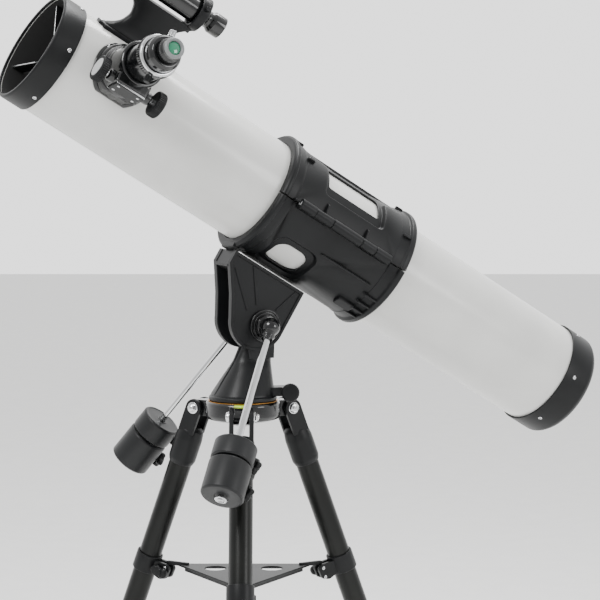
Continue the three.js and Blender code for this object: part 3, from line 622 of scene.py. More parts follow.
flange = turned(
    "column_flange", [[0, 0.3], [48.5, 0.3], [50, 1.8], [50, 6], [48.4, 7.6], [45, 8.4], [0, 8.4]],
    head_frame, 0.8)
fit(flange, "head", satin_black_enamel, "black_enamel", "azimuth_column")
cone = lofted(
    "column_cone",
    [[7, 0, 46, 46], [10, 0, 45.5, 45.5], [31, -6, 38, 35], [50, -12, 31, 25], [60, -15, 28, 18.2],
     [76, -19, 24, 18], [92, LUG_X, 20.5, 18]], head_frame, 2.3, corner=5)
fit(cone, "head", satin_black_enamel, "black_enamel")
lug_view = axes(head_frame[:3, 3], level_forward, UP, -sideways)
lug = plate(
    "column_lug", [(LUG_X - 20, 62), (LUG_X + 20, 62), *arc(LUG_X, LUG_Z, 22, -10, 190)],
    lug_view, -LUG_HALF, LUG_HALF, 1.6, 0)
fit(lug, "head", satin_black_enamel, "black_enamel")
for name, outer in (
        ("rear", [(-43.5, 90), (-44.5, 60), (-45.5, 31), (-47, 9)]),
        ("front", [(1, 90), (14.5, 60), (20.5, 50), (33.5, 31), (47, 9)])):
    inner = [(x * 0.8 + LUG_X * 0.2, z) for x, z in reversed(outer)]
    rib = plate(f"column_rib_{name}", outer + inner, lug_view, -2.2, 2.2, 1.0, 3)
    fit(rib, "head", satin_black_enamel, "black_enamel")

# ---- Azimuth clamp ---------------------------------------------------------------------
# A lug at the column's right holds a steel screw with a round moulded knob. Tightened, it stops
# the head from turning.

clamp_low, clamp_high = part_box("azimuth_lock_knob")
clamp_origin = (np.array(clamp_low) + np.array(clamp_high)) / 2
clamp_origin[1] = clamp_high.y
clamp_frame = axes(clamp_origin, np.array([-1.0, 0, 0]), UP, np.array([0, -1.0, 0]))
clamp_r = (clamp_high.z - clamp_low.z) / 2 / MM
clamp_length = (clamp_high.y - clamp_low.y) / MM
clamp_knob = turned(
    "clamp_knob",
    [[0, clamp_length - 14], [clamp_r - 2, clamp_length - 14], [clamp_r, clamp_length - 12],
     [clamp_r, clamp_length - 3], [clamp_r - 2, clamp_length - 0.6], [0, clamp_length]],
    clamp_frame, 1.0, 96, flutes=(24, 0.5))
fit(clamp_knob, "azimuth_lock", moulded_black_abs, "black_abs", "azimuth_lock_knob")
clamp_screw = turned(
    "clamp_screw", [[0, 0], [3, 0], [3, clamp_length - 18], [5.5, clamp_length - 17],
                    [5.5, clamp_length - 13], [0, clamp_length - 13]],
    clamp_frame, 0.4, 32)
fit(clamp_screw, "azimuth_lock", zinc_screw, "chrome_steel")
arm = plate(
    "column_clamp_arm", [(-33, -7), (-33, 6), *arc(0, 0, 7, 80, -80, 12)],
    axes(clamp_origin, np.array([1.0, 0, 0]), UP, np.array([0, -1.0, 0])), -3, clamp_length - 18, 1.2, 0)
fit(arm, "head", satin_black_enamel, "black_enamel")

# ---- Altitude yoke ---------------------------------------------------------------------
# A moulded fork under the cradle. Its two cheeks clasp the column's lug on one steel axle, and
# each has a raised rim, stepped rings round the axle and stiffening ribs.

tilt_frame = axes(np.array(joints["altitude"]["pos_m"]), forward, sideways, upward)
CHEEK = 12
CHEEK_IN = LUG_HALF + 0.4
CHEEK_OUT = CHEEK_IN + CHEEK - 0.4
yoke_view = axes(tilt_frame[:3, 3], forward, upward, -sideways)
cheek_outline = [(-30, 72), (-30, 0), *arc(13, 0, 43, 180, 338), (70, 14), (96, 52), (96, 72)]
rim_outline = [(-25.5, 67), (-25.5, 0), *arc(13, 0, 38.5, 180, 338), (66, 17), (91, 53), (91, 67)]
for side, sign in (("near", -1), ("far", 1)):
    low, high = sorted((sign * CHEEK_IN, sign * (CHEEK_OUT - 2)))
    cheek = plate(f"yoke_{side}_cheek", cheek_outline, yoke_view, low, high, 1.2, 0)
    fit(cheek, "cradle", moulded_black_abs, "black_abs", *(["altitude_yoke"] if sign < 0 else []))
    low, high = sorted((sign * (CHEEK_OUT - 3.5), sign * CHEEK_OUT))
    rim = plate(f"yoke_{side}_rim", cheek_outline, yoke_view, low, high, 0.8, 0, [rim_outline])
    fit(rim, "cradle", moulded_black_abs, "black_abs")
    low, high = sorted((sign * (CHEEK_OUT - 3.5), sign * (CHEEK_OUT - 0.6)))
    for number, (start, end) in enumerate((((27, 20), (60, 66)), ((-4, 28), (-18, 66)), ((36, 6), (84, 50)))):
        start, end = np.array(start), np.array(end)
        across = np.array([-(end - start)[1], (end - start)[0]]) / np.linalg.norm(end - start) * 1.3
        rib = plate(
            f"yoke_{side}_rib_{number + 1}", [start - across, end - across, end + across, start + across],
            yoke_view, low, high, 0.5, 0.5)
        fit(rib, "cradle", moulded_black_abs, "black_abs")
bridge = plate("yoke_bridge", oblong(-29, 95, 47, 73), yoke_view, -CHEEK_IN - 4, CHEEK_IN + 4, 1.2, 3)
fit(bridge, "cradle", moulded_black_abs, "black_abs")

# ---- Rod sockets, rods and counterweights ----------------------------------------------
# Each cheek ends in a ball socket that holds a chromed steel rod. Two turned iron discs in satin
# enamel slide on each rod, with a star-knob screw through the side of each.

ROD_OFFSET = 50
ROD_SPLAY = 27
ROD_LENGTH = 292
WEIGHT_R = 31
WEIGHT_START = 202
WEIGHT_LENGTHS = (31, 53)
# Satin enamel over turned cast iron.
cast_iron_enamel = grained(
    "enamelled_cast_iron", ("#141516", "#1C1D1E"), (0.34, 0.44), 1.2, 0.04, Specular_IOR_Level=0.3)
for sign, name in ((1, "front"), (-1, "rear")):
    socket_frame = moved(tilt_frame, turn="x", degrees=-90 * sign)
    face = CHEEK_OUT + 0.3
    rings = turned(
        f"socket_rings_{name}",
        [[0, face - 1], [24, face - 1], [24, face + 2.5], [21.5, face + 2.5], [21.5, face + 1.2],
         [20, face + 1.2], [20, face + 5], [17.4, face + 5], [17.4, face + 3.6], [16, face + 3.6],
         [16, face + 8.5], [12, face + 9.5], [0, face + 9.5]],
        socket_frame, 0.6)
    fit(rings, "cradle", gloss_black_enamel, "black_enamel", f"rod_socket_{name}")
    ball = turned(
        f"socket_ball_{name}",
        [[0, ROD_OFFSET - 14], *[(14 * np.cos(a), ROD_OFFSET + 14 * np.sin(a)) for a in
                                 np.radians(np.linspace(-80, 80, 21))], [0, ROD_OFFSET + 14]],
        socket_frame, 0.0, 64)
    fit(ball, "cradle", gloss_black_enamel, "black_enamel")
    rod_frame = moved(moved(tilt_frame, (0, sign * ROD_OFFSET, 0)), turn="x",
                      degrees=sign * (ROD_SPLAY - 180))
    neck = turned(
        f"socket_neck_{name}", [[0, 4], [10, 4], [10, 17], [8.6, 19], [8.6, 22], [5.2, 22], [0, 22]],
        rod_frame, 0.8, 64)
    fit(neck, "cradle", gloss_black_enamel, "black_enamel")
    rod = turned(
        f"chrome_rod_{name}", [[0, 5], [5, 5], [5, ROD_LENGTH], [0, ROD_LENGTH]], rod_frame, 0.4, 64)
    fit(rod, "cradle", chrome_plate, "chrome_steel", f"counterweight_rod_{name}")
    washer = turned(
        f"rod_washer_{name}",
        [[0, ROD_LENGTH - 1], [9, ROD_LENGTH - 1], [9, ROD_LENGTH + 0.8], [8.2, ROD_LENGTH + 1.3],
         [5.6, ROD_LENGTH + 1.3], [0, ROD_LENGTH + 1.3]], rod_frame, 0.3, 64)
    fit(washer, "cradle", zinc_screw, "chrome_steel")
    screw_heads(f"rod_end_screw_{name}", [moved(rod_frame, (0, 0, ROD_LENGTH + 1.2))], 5.2, 2.6, "cradle")

    start = WEIGHT_START
    for number, length in enumerate(WEIGHT_LENGTHS, 1):
        end = start + length
        disc = turned(
            f"weight_disc_{name}_{number}",
            [[5.4, start], [8, start], [8.6, start + 0.8], [26, start + 0.8], [27, start],
             [WEIGHT_R - 2.2, start],
             [WEIGHT_R, start + 2.2], [WEIGHT_R, end - 2.2], [WEIGHT_R - 2.2, end], [11, end],
             [10.4, end - 1],
             [5.4, end - 1]],
            rod_frame, 1.0, 128, ring=True)
        fit(disc, f"weight_{name}_{number}", cast_iron_enamel, "weight_enamel",
            f"counterweight_{name}_{number}")
        knob_frame = moved(moved(rod_frame, (0, 0, start + length / 2)), turn="y", degrees=-90)
        shank = turned(
            f"weight_shank_{name}_{number}",
            [[0, WEIGHT_R - 3], [6, WEIGHT_R - 3], [5, WEIGHT_R + 2.4], [0, WEIGHT_R + 2.4]], knob_frame,
            0.3, 40)
        fit(shank, f"weight_knob_{name}_{number}", zinc_screw, "chrome_steel")
        hand_knob(
            f"weight_star_knob_{name}_{number}", moved(knob_frame, (0, 0, WEIGHT_R + 2)),
            f"weight_knob_{name}_{number}", 12.5, 4, 4.6, 9.4, 3, 5 - WEIGHT_R,
            f"weight_knob_{name}_{number}")
        start = end + 2

# ---- Cradle ----------------------------------------------------------------------------
# Two half shells of moulded black ABS round the tube, hinged on a steel pin towards the near side.
# Each is two arches joined by a thin skin with sunken windows, ribs and a clamp on the far side.

HINGE_R = 100
tube_frame = moved(axes(np.array(joints["cradle_open"]["pos_m"]), forward, sideways, upward),
                   (0, -HINGE_R, 0))
TO_X = dict(turn="y", degrees=90)  # lays a turned piece's own axis along +X
SKIN_LOW = 80.8


def wrapped(x, degrees, radius):
    """Points round the tube: along it, round it from its top towards the hinge, and out from its axis."""
    angle = np.radians(degrees)
    return np.stack([x + 0 * angle, radius * np.sin(angle), radius * np.cos(angle)], -1)


def bevel(piece, width_mm, segments=2):
    """A live Bevel modifier on the edges that turn by more than 40 degrees."""
    rounding = piece.modifiers.new("eased_edges", "BEVEL")
    rounding.width = width_mm * MM
    rounding.segments = segments
    rounding.limit_method = "ANGLE"
    rounding.angle_limit = np.radians(40)
    rounding.harden_normals = True
    return piece


def arch(name, profile, start, end, body, corner=1.2, steps=72):
    """Part of a ring round the tube: a closed [radius, x] profile swept from one angle to another,
    with flat ends."""
    outline = rounded(profile, corner, closed=True)
    degrees = np.linspace(start, end, steps)[:, None]
    points = wrapped(outline[None, :, 1], degrees, outline[None, :, 0]).reshape(-1, 3)
    count = len(outline)
    last = (steps - 1) * count
    faces = [*grid_faces(steps, count), list(range(count)), list(range(last, last + count))]
    return fit(face_out(mesh_object(name, placed(tube_frame, points), faces)), body, moulded_black_abs,
               "black_abs")


def side_loop(x0, x1, start, end, corner_mm, radius=90.0, straight=14, bend=7):
    """A rounded rectangle in millimetres along the tube and degrees round it, as equal counts of
    points on each side and corner, so that nested loops join up as a grid."""
    along = np.degrees(corner_mm / radius)
    centres = [(x1 - corner_mm, end - along), (x0 + corner_mm, end - along),
               (x0 + corner_mm, start + along), (x1 - corner_mm, start + along)]
    quarter = np.radians(np.linspace(0, 90, bend))
    loop = []
    for i, (x, degrees) in enumerate(centres):
        turn = quarter + np.radians(90 * i)
        loop.append(np.stack([x + corner_mm * np.cos(turn), degrees + along * np.sin(turn)], -1))
    result = []
    for i in range(4):
        result.append(loop[i])
        gap = np.linspace(loop[i][-1], loop[(i + 1) % 4][0], straight + 2)[1:-1]
        result.append(gap)
    return np.concatenate(result)


def windowed(name, loops, body, rail=None):
    """A shell panel with one window: nested rounded rectangles, each [x0, x1, start, end, corner,
    radius], are the rows of a ring-shaped grid that goes out over the panel and back beneath it.
    rail is (x0, x1, end, radius): between those x and short of that angle it is no thicker."""
    rows = []
    for x0, x1, start, end, corner_mm, radius in loops:
        loop = side_loop(x0, x1, start, end, corner_mm)
        height = np.full(len(loop), float(radius))
        if rail:
            away = np.maximum.reduce([rail[0] - loop[:, 0], loop[:, 0] - rail[1],
                                      (loop[:, 1] - rail[2]) * 1.6])
            share = np.clip(away / 7, 0, 1)
            share = share * share * (3 - 2 * share)
            height = np.minimum(height, rail[3] + (radius - rail[3]) * share)
        rows.append(wrapped(loop[:, 0], loop[:, 1], height))
    points = np.concatenate(rows)
    faces = grid_faces(len(loops), len(rows[0]), close_rows=True)
    piece = face_out(mesh_object(name, placed(tube_frame, points), faces))
    return fit(bevel(piece, 0.9, 3), body, moulded_black_abs, "black_abs")


FRONT_X, REAR_X = 103, -130
front_profile = [
    [SKIN_LOW, 77], [90, 77], [91, 81], [91, 92], [95, 93.5], [95, 99], [91.5, FRONT_X - 0.4],
    [SKIN_LOW, FRONT_X - 0.4]]
rear_profile = [
    [SKIN_LOW, REAR_X + 0.4], [93, REAR_X + 0.4], [95, REAR_X + 3], [95, REAR_X + 10], [91, REAR_X + 12],
    [90, REAR_X + 28], [SKIN_LOW, REAR_X + 28]]
for half, body, start, end in (("upper", "cradle_top", -89.3, 89.3), ("lower", "cradle", 90.7, 269.3)):
    front_arch = arch(f"cradle_{half}_front_arch", front_profile, start, end, body)
    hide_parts(f"cradle_{half}")
    arch(f"cradle_{half}_rear_arch", rear_profile, start, end, body)


def mirrored(sign, x0, x1, start, end, corner_mm, radius):
    """One loop of a panel on the near side, or its mirror image on the far side where sign is -1."""
    low, high = sorted((sign * start, sign * end))
    return [x0, x1, low, high, corner_mm, radius]


# The windows' loops, from the opening outwards: the upper one's step is deep and the lower one's wide.
UPPER_RAIL = (-74, 41, 26, 84.0)
UPPER_LOOPS = [
    (-62, 31, 23, 54, 5, SKIN_LOW),
    (-62, 31, 23, 54, 5, 83.6),
    (-69, 36, 19, 65, 7, 83.6),
    (-71, 38, 18, 67, 8, 89.6),
    (-76, 43, 12, 71, 10, 90.4),
    (-104, 80, 0.1, 89.2, 2, 90.2),
    (-104, 80, 0.1, 89.2, 2, SKIN_LOW)]
LOWER_LOOPS = [
    (2, 56, 130, 164, 18, SKIN_LOW),
    (2, 56, 130, 164, 18, 84),
    (-5, 63, 124, 169, 16, 84),
    (-8, 66, 122, 171, 16, 89.4),
    (-104, 80, 90.8, 179.9, 2, 89.4),
    (-104, 80, 90.8, 179.9, 2, SKIN_LOW)]
for side, sign in (("near", 1), ("far", -1)):
    upper_loops = [mirrored(sign, *loop) for loop in UPPER_LOOPS]
    windowed(f"cradle_upper_{side}_skin", upper_loops, "cradle_top", UPPER_RAIL if sign > 0 else None)
    windowed(f"cradle_lower_{side}_skin", [mirrored(sign, *loop) for loop in LOWER_LOOPS], "cradle")


def tube_plate(name, outline, degrees, low, high, body, edge=0.8, corner=2.0, half=None):
    """A plate on the tube's side at an angle round it. Its outline is in x and height, standing on
    edge with a half thickness, or in x and sideways, lying flat, where half is None."""
    outward = wrapped(0, degrees, 1.0).reshape(3)
    outward = tube_frame[:3, :3] @ outward
    across = np.cross(outward, forward)
    if half is None:
        matrix = axes(tube_frame[:3, 3], forward, across, outward)
    else:
        matrix = axes(tube_frame[:3, 3], forward, outward, -across)
        low, high = -half, half
    return fit(plate(name, outline, matrix, low, high, edge, corner), body, moulded_black_abs, "black_abs")


tube_plate("cradle_upper_ledge", oblong(-99, 82, -3.2, -0.4), 90, 86, 99.5, "cradle_top", 0.7, 1.0)
ledge_frame = axes(tube_frame[:3, 3], forward, sideways, upward)
for number, x in enumerate((27, -47)):
    gusset = plate(
        f"cradle_gusset_{number + 1}", [(84, 3), (98, 3), (92, 22), (84, 26)],
        axes(placed(tube_frame, (x, 0, 0)), sideways, upward, forward), -1.3, 1.3, 0.5, 1)
    fit(gusset, "cradle_top", moulded_black_abs, "black_abs")
for name, x, degrees in (("front", 84, 12), ("rear", -108, 10), ("rear_low", -112, 58),
                         ("front_low", 72, 40)):
    tube_plate(f"cradle_tab_{name}", oblong(x - 6, x + 6, 88, 94.5), degrees, 0, 0, "cradle_top", 0.6, 2,
               half=2.2)
for number, (low, high, body) in enumerate(
        ((46, 72, "cradle"), (14.5, 45.4, "cradle"), (-39.6, 13.8, "cradle_top"), (-66, -40.6, "cradle"),
         (-94, -66.6, "cradle"))):
    radius = 7.4 if number in (1, 3) else 8
    knuckle = turned(
        f"hinge_knuckle_{number + 1}", [[0, low], [radius, low], [radius, high], [0, high]],
        moved(moved(tube_frame, (0, HINGE_R, 0)), **TO_X), 0.9, 64)
    fit(knuckle, body, moulded_black_abs, "black_abs")
    web_low, web_high = (-7, -1.2) if body == "cradle" else (1.2, 7)
    web = plate(f"hinge_web_{number + 1}", oblong(low + 0.4, high - 0.4, web_low, web_high),
                axes(tube_frame[:3, 3], forward, upward, -sideways), -99, -86, 0.8, 1)
    fit(web, body, moulded_black_abs, "black_abs")
for end, x in (("front", 71.6), ("rear", -93.6)):
    sign = 1 if end == "front" else -1
    pin_end = moved(moved(tube_frame, (x, HINGE_R, 0)), turn="y", degrees=90 * sign)
    screw_heads(f"hinge_pin_{end}", [pin_end], 4.2, 1.8, "cradle")

# Feet and stiffening blocks under the lower half.
tube_plate("cradle_front_foot", [(82, 86), (103, 86), (103, 94.6), (96, 94.6), (84, 92)], 176, 0, 0, "cradle",
           0.8, 2, half=20)
for number, degrees in enumerate((128, 138, 148, 158)):
    tube_plate(f"cradle_rear_rib_{number + 1}", [(-129, 86), (-92, 86), (-98, 94.6), (-127, 94.6)], degrees,
               0, 0,
               "cradle", 0.6, 2, half=1.6)
tube_plate("cradle_rear_lower_block", oblong(-104, -74, -9, 9), 152, 86, 93.6, "cradle", 1.4, 4)
tube_plate("cradle_middle_rib", oblong(-96, -4, -1.2, 1.2), 118, 86, 92.5, "cradle", 0.6, 1)

# The clamps on the far side: lugs on both halves with a star-knob screw through them.
for name, x in (("front", 60), ("rear", -90)):
    for half, low, high, body in (("upper", 1.2, 12, "cradle_top"), ("lower", -12, -1.2, "cradle")):
        lug = plate(
            f"cradle_{half}_{name}_lug", oblong(x - 15, x + 15, -119, -86),
            axes(tube_frame[:3, 3], forward, sideways, upward), low, high, 1.4, 5)
        fit(lug, body, moulded_black_abs, "black_abs")
    hand_knob(
        f"cradle_star_knob_{name}", moved(tube_frame, (x, -111, 12.5)), f"cradle_knob_{name}", 13, 5, 3.4,
        11, 3,
        -24, f"cradle_knob_{name}")

# ---- Optical tube ----------------------------------------------------------------------
# A rolled steel tube, 160 mm across, sprayed with satin white enamel outside and lined in
# flat black. Its frame has +X along the optical axis to the open end and +Y to the hinge.

# Baked enamel: slightly wavy like orange peel, with a thin clear gloss over a satin base.
satin_white_enamel = grained(
    "satin_white_enamel", ("#CFCFCC", "#D5D5D2"), (0.26, 0.34), 2.5, 0.02,
    Coat_Weight=0.35, Coat_Roughness=0.12)
# Flat black spray that takes up stray light.
flat_black_lining = grained("flat_black_lining", ("#0B0B0B", "#101010"), (0.75, 0.9), 1.5, 0.05)
TUBE_R = 80
FRONT_END, REAR_END = 502, -507
along_tube = moved(tube_frame, **TO_X)
shell = turned(
    "optical_tube_shell",
    [[78.8, REAR_END + 4], [TUBE_R, REAR_END + 4], [TUBE_R, FRONT_END - 4], [78.8, FRONT_END - 4]],
    along_tube, 0.3, 160, ring=True)
fit(shell, "tube", satin_white_enamel, "tube_paint", "optical_tube")
lining = turned(
    "tube_lining",
    [[78.0, REAR_END + 40], [78.7, REAR_END + 40], [78.7, FRONT_END - 5], [78.0, FRONT_END - 5]],
    along_tube, 0.1, 128, ring=True)
fit(lining, "tube", flat_black_lining, "black_abs")

# ---- End caps ----------------------------------------------------------------------------
# Black moulded ABS rings pressed over both ends of the tube and held by six small
# pan-head screws each; the front one is open and turns in over the rim.

front_cap = turned(
    "front_cap_moulding",
    [[80.2, FRONT_END - 36], [83, FRONT_END - 36], [83, FRONT_END - 3], [81.6, FRONT_END],
     [77.6, FRONT_END], [77.6, FRONT_END - 3.6], [80.2, FRONT_END - 3.6]],
    along_tube, 1.2, 160, ring=True)
fit(front_cap, "tube", moulded_black_abs, "black_abs", "front_cap")
rear_cap = turned(
    "rear_cap_moulding",
    [[80.2, REAR_END + 50], [83, REAR_END + 50], [83, REAR_END + 7], [77, REAR_END],
     [73.5, REAR_END], [73.5, REAR_END + 3.6], [80.2, REAR_END + 3.6]],
    along_tube, 4.0, 160, ring=True)
fit(rear_cap, "tube", moulded_black_abs, "black_abs", "rear_cap")


def round_tube(x, degrees, radius):
    """A frame on the tube's side: +Z points out, at degrees from the top towards the hinge."""
    return moved(moved(tube_frame, (x, 0, 0), "x", -degrees), (0, 0, radius))


cap_screws = [round_tube(FRONT_END - 28, 25 + 60 * i, 82.9) for i in range(6)]
cap_screws += [round_tube(REAR_END + 34, 25 + 60 * i, 82.9) for i in range(6)]
screw_heads("cap_screws", cap_screws, 3.0, 1.6, "tube")

# ---- Spider and secondary mirror ---------------------------------------------------------
# Four thin steel vanes hold a turned hub in the mouth of the tube. Three bright screws in the
# hub aim the small flat mirror behind it, which stands at 45 degrees under the focuser.

HUB_FRONT = FRONT_END - 32
VANE_TURN = -20
vane_outline = [(2, HUB_FRONT - 12), (2, HUB_FRONT - 2), (78.4, FRONT_END - 12), (78.4, FRONT_END - 28)]
edge_outline = [(10, HUB_FRONT - 2.3), (10, HUB_FRONT - 0.6), (78.4, FRONT_END - 10.2),
                (78.4, FRONT_END - 12.4)]
for number in range(4):
    spoke = moved(tube_frame, turn="x", degrees=-(VANE_TURN + 90 * number))
    vane_frame = axes(spoke[:3, 3], spoke[:3, 2], spoke[:3, 0], spoke[:3, 1])
    vane = plate(f"spider_vane_{number + 1}", vane_outline, vane_frame, -0.8, 0.8, 0.2, 0)
    fit(vane, "tube", moulded_black_abs, "black_steel", *(["spider"] if number == 0 else []))
    edge = plate(f"vane_edge_{number + 1}", edge_outline, vane_frame, -0.95, 0.95, 0.3, 0)
    fit(edge, "tube", zinc_screw, "black_steel")
spider_hub = turned(
    "spider_hub", [[0, HUB_FRONT - 14], [13, HUB_FRONT - 14], [13, HUB_FRONT - 1], [11.6, HUB_FRONT],
                   [0, HUB_FRONT]],
    along_tube, 0.8, 64)
fit(spider_hub, "tube", moulded_black_abs, "black_steel")
hub_screws = [moved(moved(tube_frame, turn="x", degrees=120 * i + 30), (HUB_FRONT - 0.1, 0, 7.6), **TO_X)
              for i in range(3)]
screw_heads("spider_hub_screws", hub_screws, 2.6, 2.4, "tube")

# ---- Primary mirror and cell ---------------------------------------------------------------
# A 130 mm glass mirror, aluminised on its hollow face, sits in a moulded cell. Three knurled
# screws through the cell's back tilt it, and the rear cap frames them.

# Aluminium evaporated on polished glass.
mirror_coating = grained("aluminised_glass", ("#D3D6DA", "#DCDFE2"), (0.02, 0.05), 20, 0.001, metallic=1.0)
for node in ("primary_mirror", "secondary_mirror"):
    mesh = frame["nodes"][node].data
    mesh.materials.clear()
    mesh.materials.append(mirror_coating)
CELL_FRONT = REAR_END + 24
cell = turned(
    "mirror_cell_moulding",
    [[0, CELL_FRONT - 8], [10, CELL_FRONT - 8], [12, CELL_FRONT - 6], [30, CELL_FRONT - 6],
     [32, CELL_FRONT - 8],
     [66, CELL_FRONT - 8], [67.5, CELL_FRONT - 6.4], [71, CELL_FRONT - 6.4], [72.5, CELL_FRONT - 8],
     [77.6, CELL_FRONT - 8], [77.6, CELL_FRONT + 14], [69, CELL_FRONT + 14], [69, CELL_FRONT],
     [0, CELL_FRONT]],
    along_tube, 0.7, 128)
fit(cell, "tube", moulded_black_abs, "black_abs", "mirror_cell")
for number in range(3):
    place = moved(moved(tube_frame, turn="x", degrees=120 * number), (CELL_FRONT - 8.3, 0, 52), "y", -90)
    screw = turned(
        f"collimation_knob_{number + 1}", [[0, 0], [7.8, 0], [7.8, 7.4], [6.8, 8.4], [3.4, 8.4], [3, 7.4],
                                           [0, 7.4]],
        place, 0.4, 144, flutes=(36, 0.7))
    fit(screw, f"collimation_screw_{number + 1}", zinc_screw, "chrome_steel",
        f"collimation_screw_{number + 1}")
lock_places = [
    moved(moved(tube_frame, turn="x", degrees=120 * i + 60), (CELL_FRONT - 7.9, 0, 52), "y", -90)
    for i in range(3)]
screw_heads("cell_lock_screws", lock_places, 3.6, 2.0, "tube")

# ---- Focuser -------------------------------------------------------------------------------
# A gloss black casting screwed to the tube's side over a hole. A pinion under its side cover,
# with a knob at each end, racks the drawtube in and out. +Z runs out along the drawtube.

FOCUSER_X = FRONT_END - 112
FOCUSER_TURN = 75
focus_frame = moved(tube_frame, (FOCUSER_X, 0, 0), "x", -FOCUSER_TURN)
BODY_TOP, COLLAR_TOP = 142, 190
PINION_Y, PINION_Z = 34, 126


def saddle_body(name, rows, matrix, seat_r=80.5, flat=39.0, segments=128):
    """A turned casting on a tube: each row is [radius, height, share]. A row with share 1 is raised
    height above the tube's own curve, one with share 0 stands at that height above its axis, and
    beyond flat millimetres sideways it is cut off straight."""
    angle = np.linspace(0, 2 * np.pi, segments, endpoint=False)
    table = rounded(rows, 1.2, closed=True)
    radius, height, share = table[:, :1], table[:, 1:2], np.clip(table[:, 2:3], 0, 1)
    x, y = radius * np.cos(angle), np.clip(radius * np.sin(angle), -flat, flat)
    seat = np.sqrt(seat_r ** 2 - y ** 2)
    z = np.where(share > 0, share * (seat + height) + (1 - share) * height, height)
    points = np.stack([x, y, z + 0 * angle], -1).reshape(-1, 3)
    return face_out(mesh_object(name, placed(matrix, points),
                                grid_faces(len(table), segments, close_rows=True)))


flange = saddle_body(
    "focuser_flange", [[28, 0, 1], [46, 0, 1], [46, 3.6, 1], [43, 4.4, 1], [28, 4.4, 1]], focus_frame)
fit(flange, "tube", gloss_black_enamel, "gloss_black", "focuser_body")
dome = turned(
    "focuser_dome",
    [[27.6, 66], [39, 66], [39, 88], [37.6, 96], [34.5, 102], [34.5, 106], [33.5, 108], [33, 140],
     [31, BODY_TOP],
     [27.6, BODY_TOP]], focus_frame, 2.0, 128, ring=True)
fit(dome, "tube", gloss_black_enamel, "gloss_black")
skirt = turned(
    "focuser_skirt", [[30, 64], [42.5, 64], [42.5, 84], [41, 89], [36, 92], [30, 92]], focus_frame, 2.2, 128,
    ring=True)
SKIRT_HALF = 38.5


def cut_straight(points):
    """Points further sideways than the skirt's half width are drawn in to it."""
    local = (points - focus_frame[:3, 3]) @ focus_frame[:3, :3] / MM
    local[:, 1] = np.clip(local[:, 1], -SKIRT_HALF, SKIRT_HALF)
    return placed(focus_frame, local)


reshape(skirt, cut_straight)
fit(skirt, "tube", gloss_black_enamel, "gloss_black")
side_on = axes(placed(focus_frame, (0, 0, 0)), focus_frame[:3, 0], focus_frame[:3, 2], -focus_frame[:3, 1])
housing = plate(
    "pinion_housing", oblong(-26, 26, PINION_Z - 17, PINION_Z + 15), side_on, -PINION_Y - 7.8, -26.5, 2.6, 5)
fit(housing, "tube", gloss_black_enamel, "gloss_black")
for end in (-1, 1):
    bearing = turned(
        f"pinion_bearing_{'rear' if end < 0 else 'front'}", [[0, 24], [9, 24], [9, 33], [7.6, 35], [0, 35]],
        moved(moved(focus_frame, (0, PINION_Y, PINION_Z)), turn="y", degrees=90 * end), 0.8, 64)
    fit(bearing, "tube", gloss_black_enamel, "gloss_black")
cover = plate(
    "pinion_side_cover", oblong(-22, 22, PINION_Z - 15, PINION_Z + 13), side_on, -PINION_Y - 11.2,
    -PINION_Y - 8.2,
    0.7, 2.5)
fit(cover, "tube", moulded_black_abs, "gloss_black", "pinion_cover")
for number, z in enumerate((PINION_Z - 15.6, PINION_Z + 13.2)):
    strip = plate(
        f"cover_trim_{number + 1}", oblong(-23, 23, z, z + 0.9), side_on, -PINION_Y - 10.4, -PINION_Y - 8,
        0.2, 0.3)
    fit(strip, "tube", zinc_screw, "chrome_steel")
cover_screws = [
    moved(moved(focus_frame, (x, PINION_Y + 11.1, PINION_Z + z)), **ON_Y) for x in (-16, 16) for z in (-9, 7)]
screw_heads("cover_screws", cover_screws, 2.3, 1.2, "tube")
base_screws = []
for degrees in (35, 145, 215, 325):
    x, y = 41.5 * np.cos(np.radians(degrees)), 41.5 * np.sin(np.radians(degrees))
    y = np.clip(y, -34, 34)
    tilt = np.degrees(np.arcsin(y / 80.5))
    base_screws.append(moved(moved(focus_frame, (x, y, np.sqrt(80.5 ** 2 - y ** 2) + 4.2)), turn="x",
                             degrees=-tilt))
screw_heads("focuser_base_screws", base_screws, 3.0, 1.8, "tube")

# Focus knobs: fluted ABS on a steel pinion shaft, with a light grey disc in each outer face.
pale_grey_abs = grained("pale_grey_abs", ("#A9AAAA", "#B5B6B6"), (0.3, 0.4), 1, 0.02)
for end in (-1, 1):
    side = "front" if end > 0 else "rear"
    knob_frame = moved(moved(focus_frame, (0, PINION_Y, PINION_Z)), turn="y", degrees=90 * end)
    knob = turned(
        f"focus_knob_{side}",
        [[0, 40], [14, 40], [18, 41], [19, 43], [19, 51.5], [17.4, 53.4], [15, 53.4], [14.4, 52.6],
         [0, 52.6]],
        knob_frame, 0.7, 200, flutes=(40, 0.9))
    fit(knob, "focus_knobs", moulded_black_abs, "black_abs", *(["focus_knobs"] if end > 0 else []))
    inlay = turned(
        f"focus_knob_inlay_{side}", [[0, 52.2], [13.6, 52.2], [13.6, 53], [12.8, 53.5], [0, 53.8]],
        knob_frame, 0.3, 64)
    fit(inlay, "focus_knobs", pale_grey_abs, "black_abs")
    shaft = turned(f"pinion_shaft_{side}", [[0, 0], [3.5, 0], [3.5, 41], [0, 41]], knob_frame, 0.2, 32)
    fit(shaft, "focus_knobs", zinc_screw, "chrome_steel")

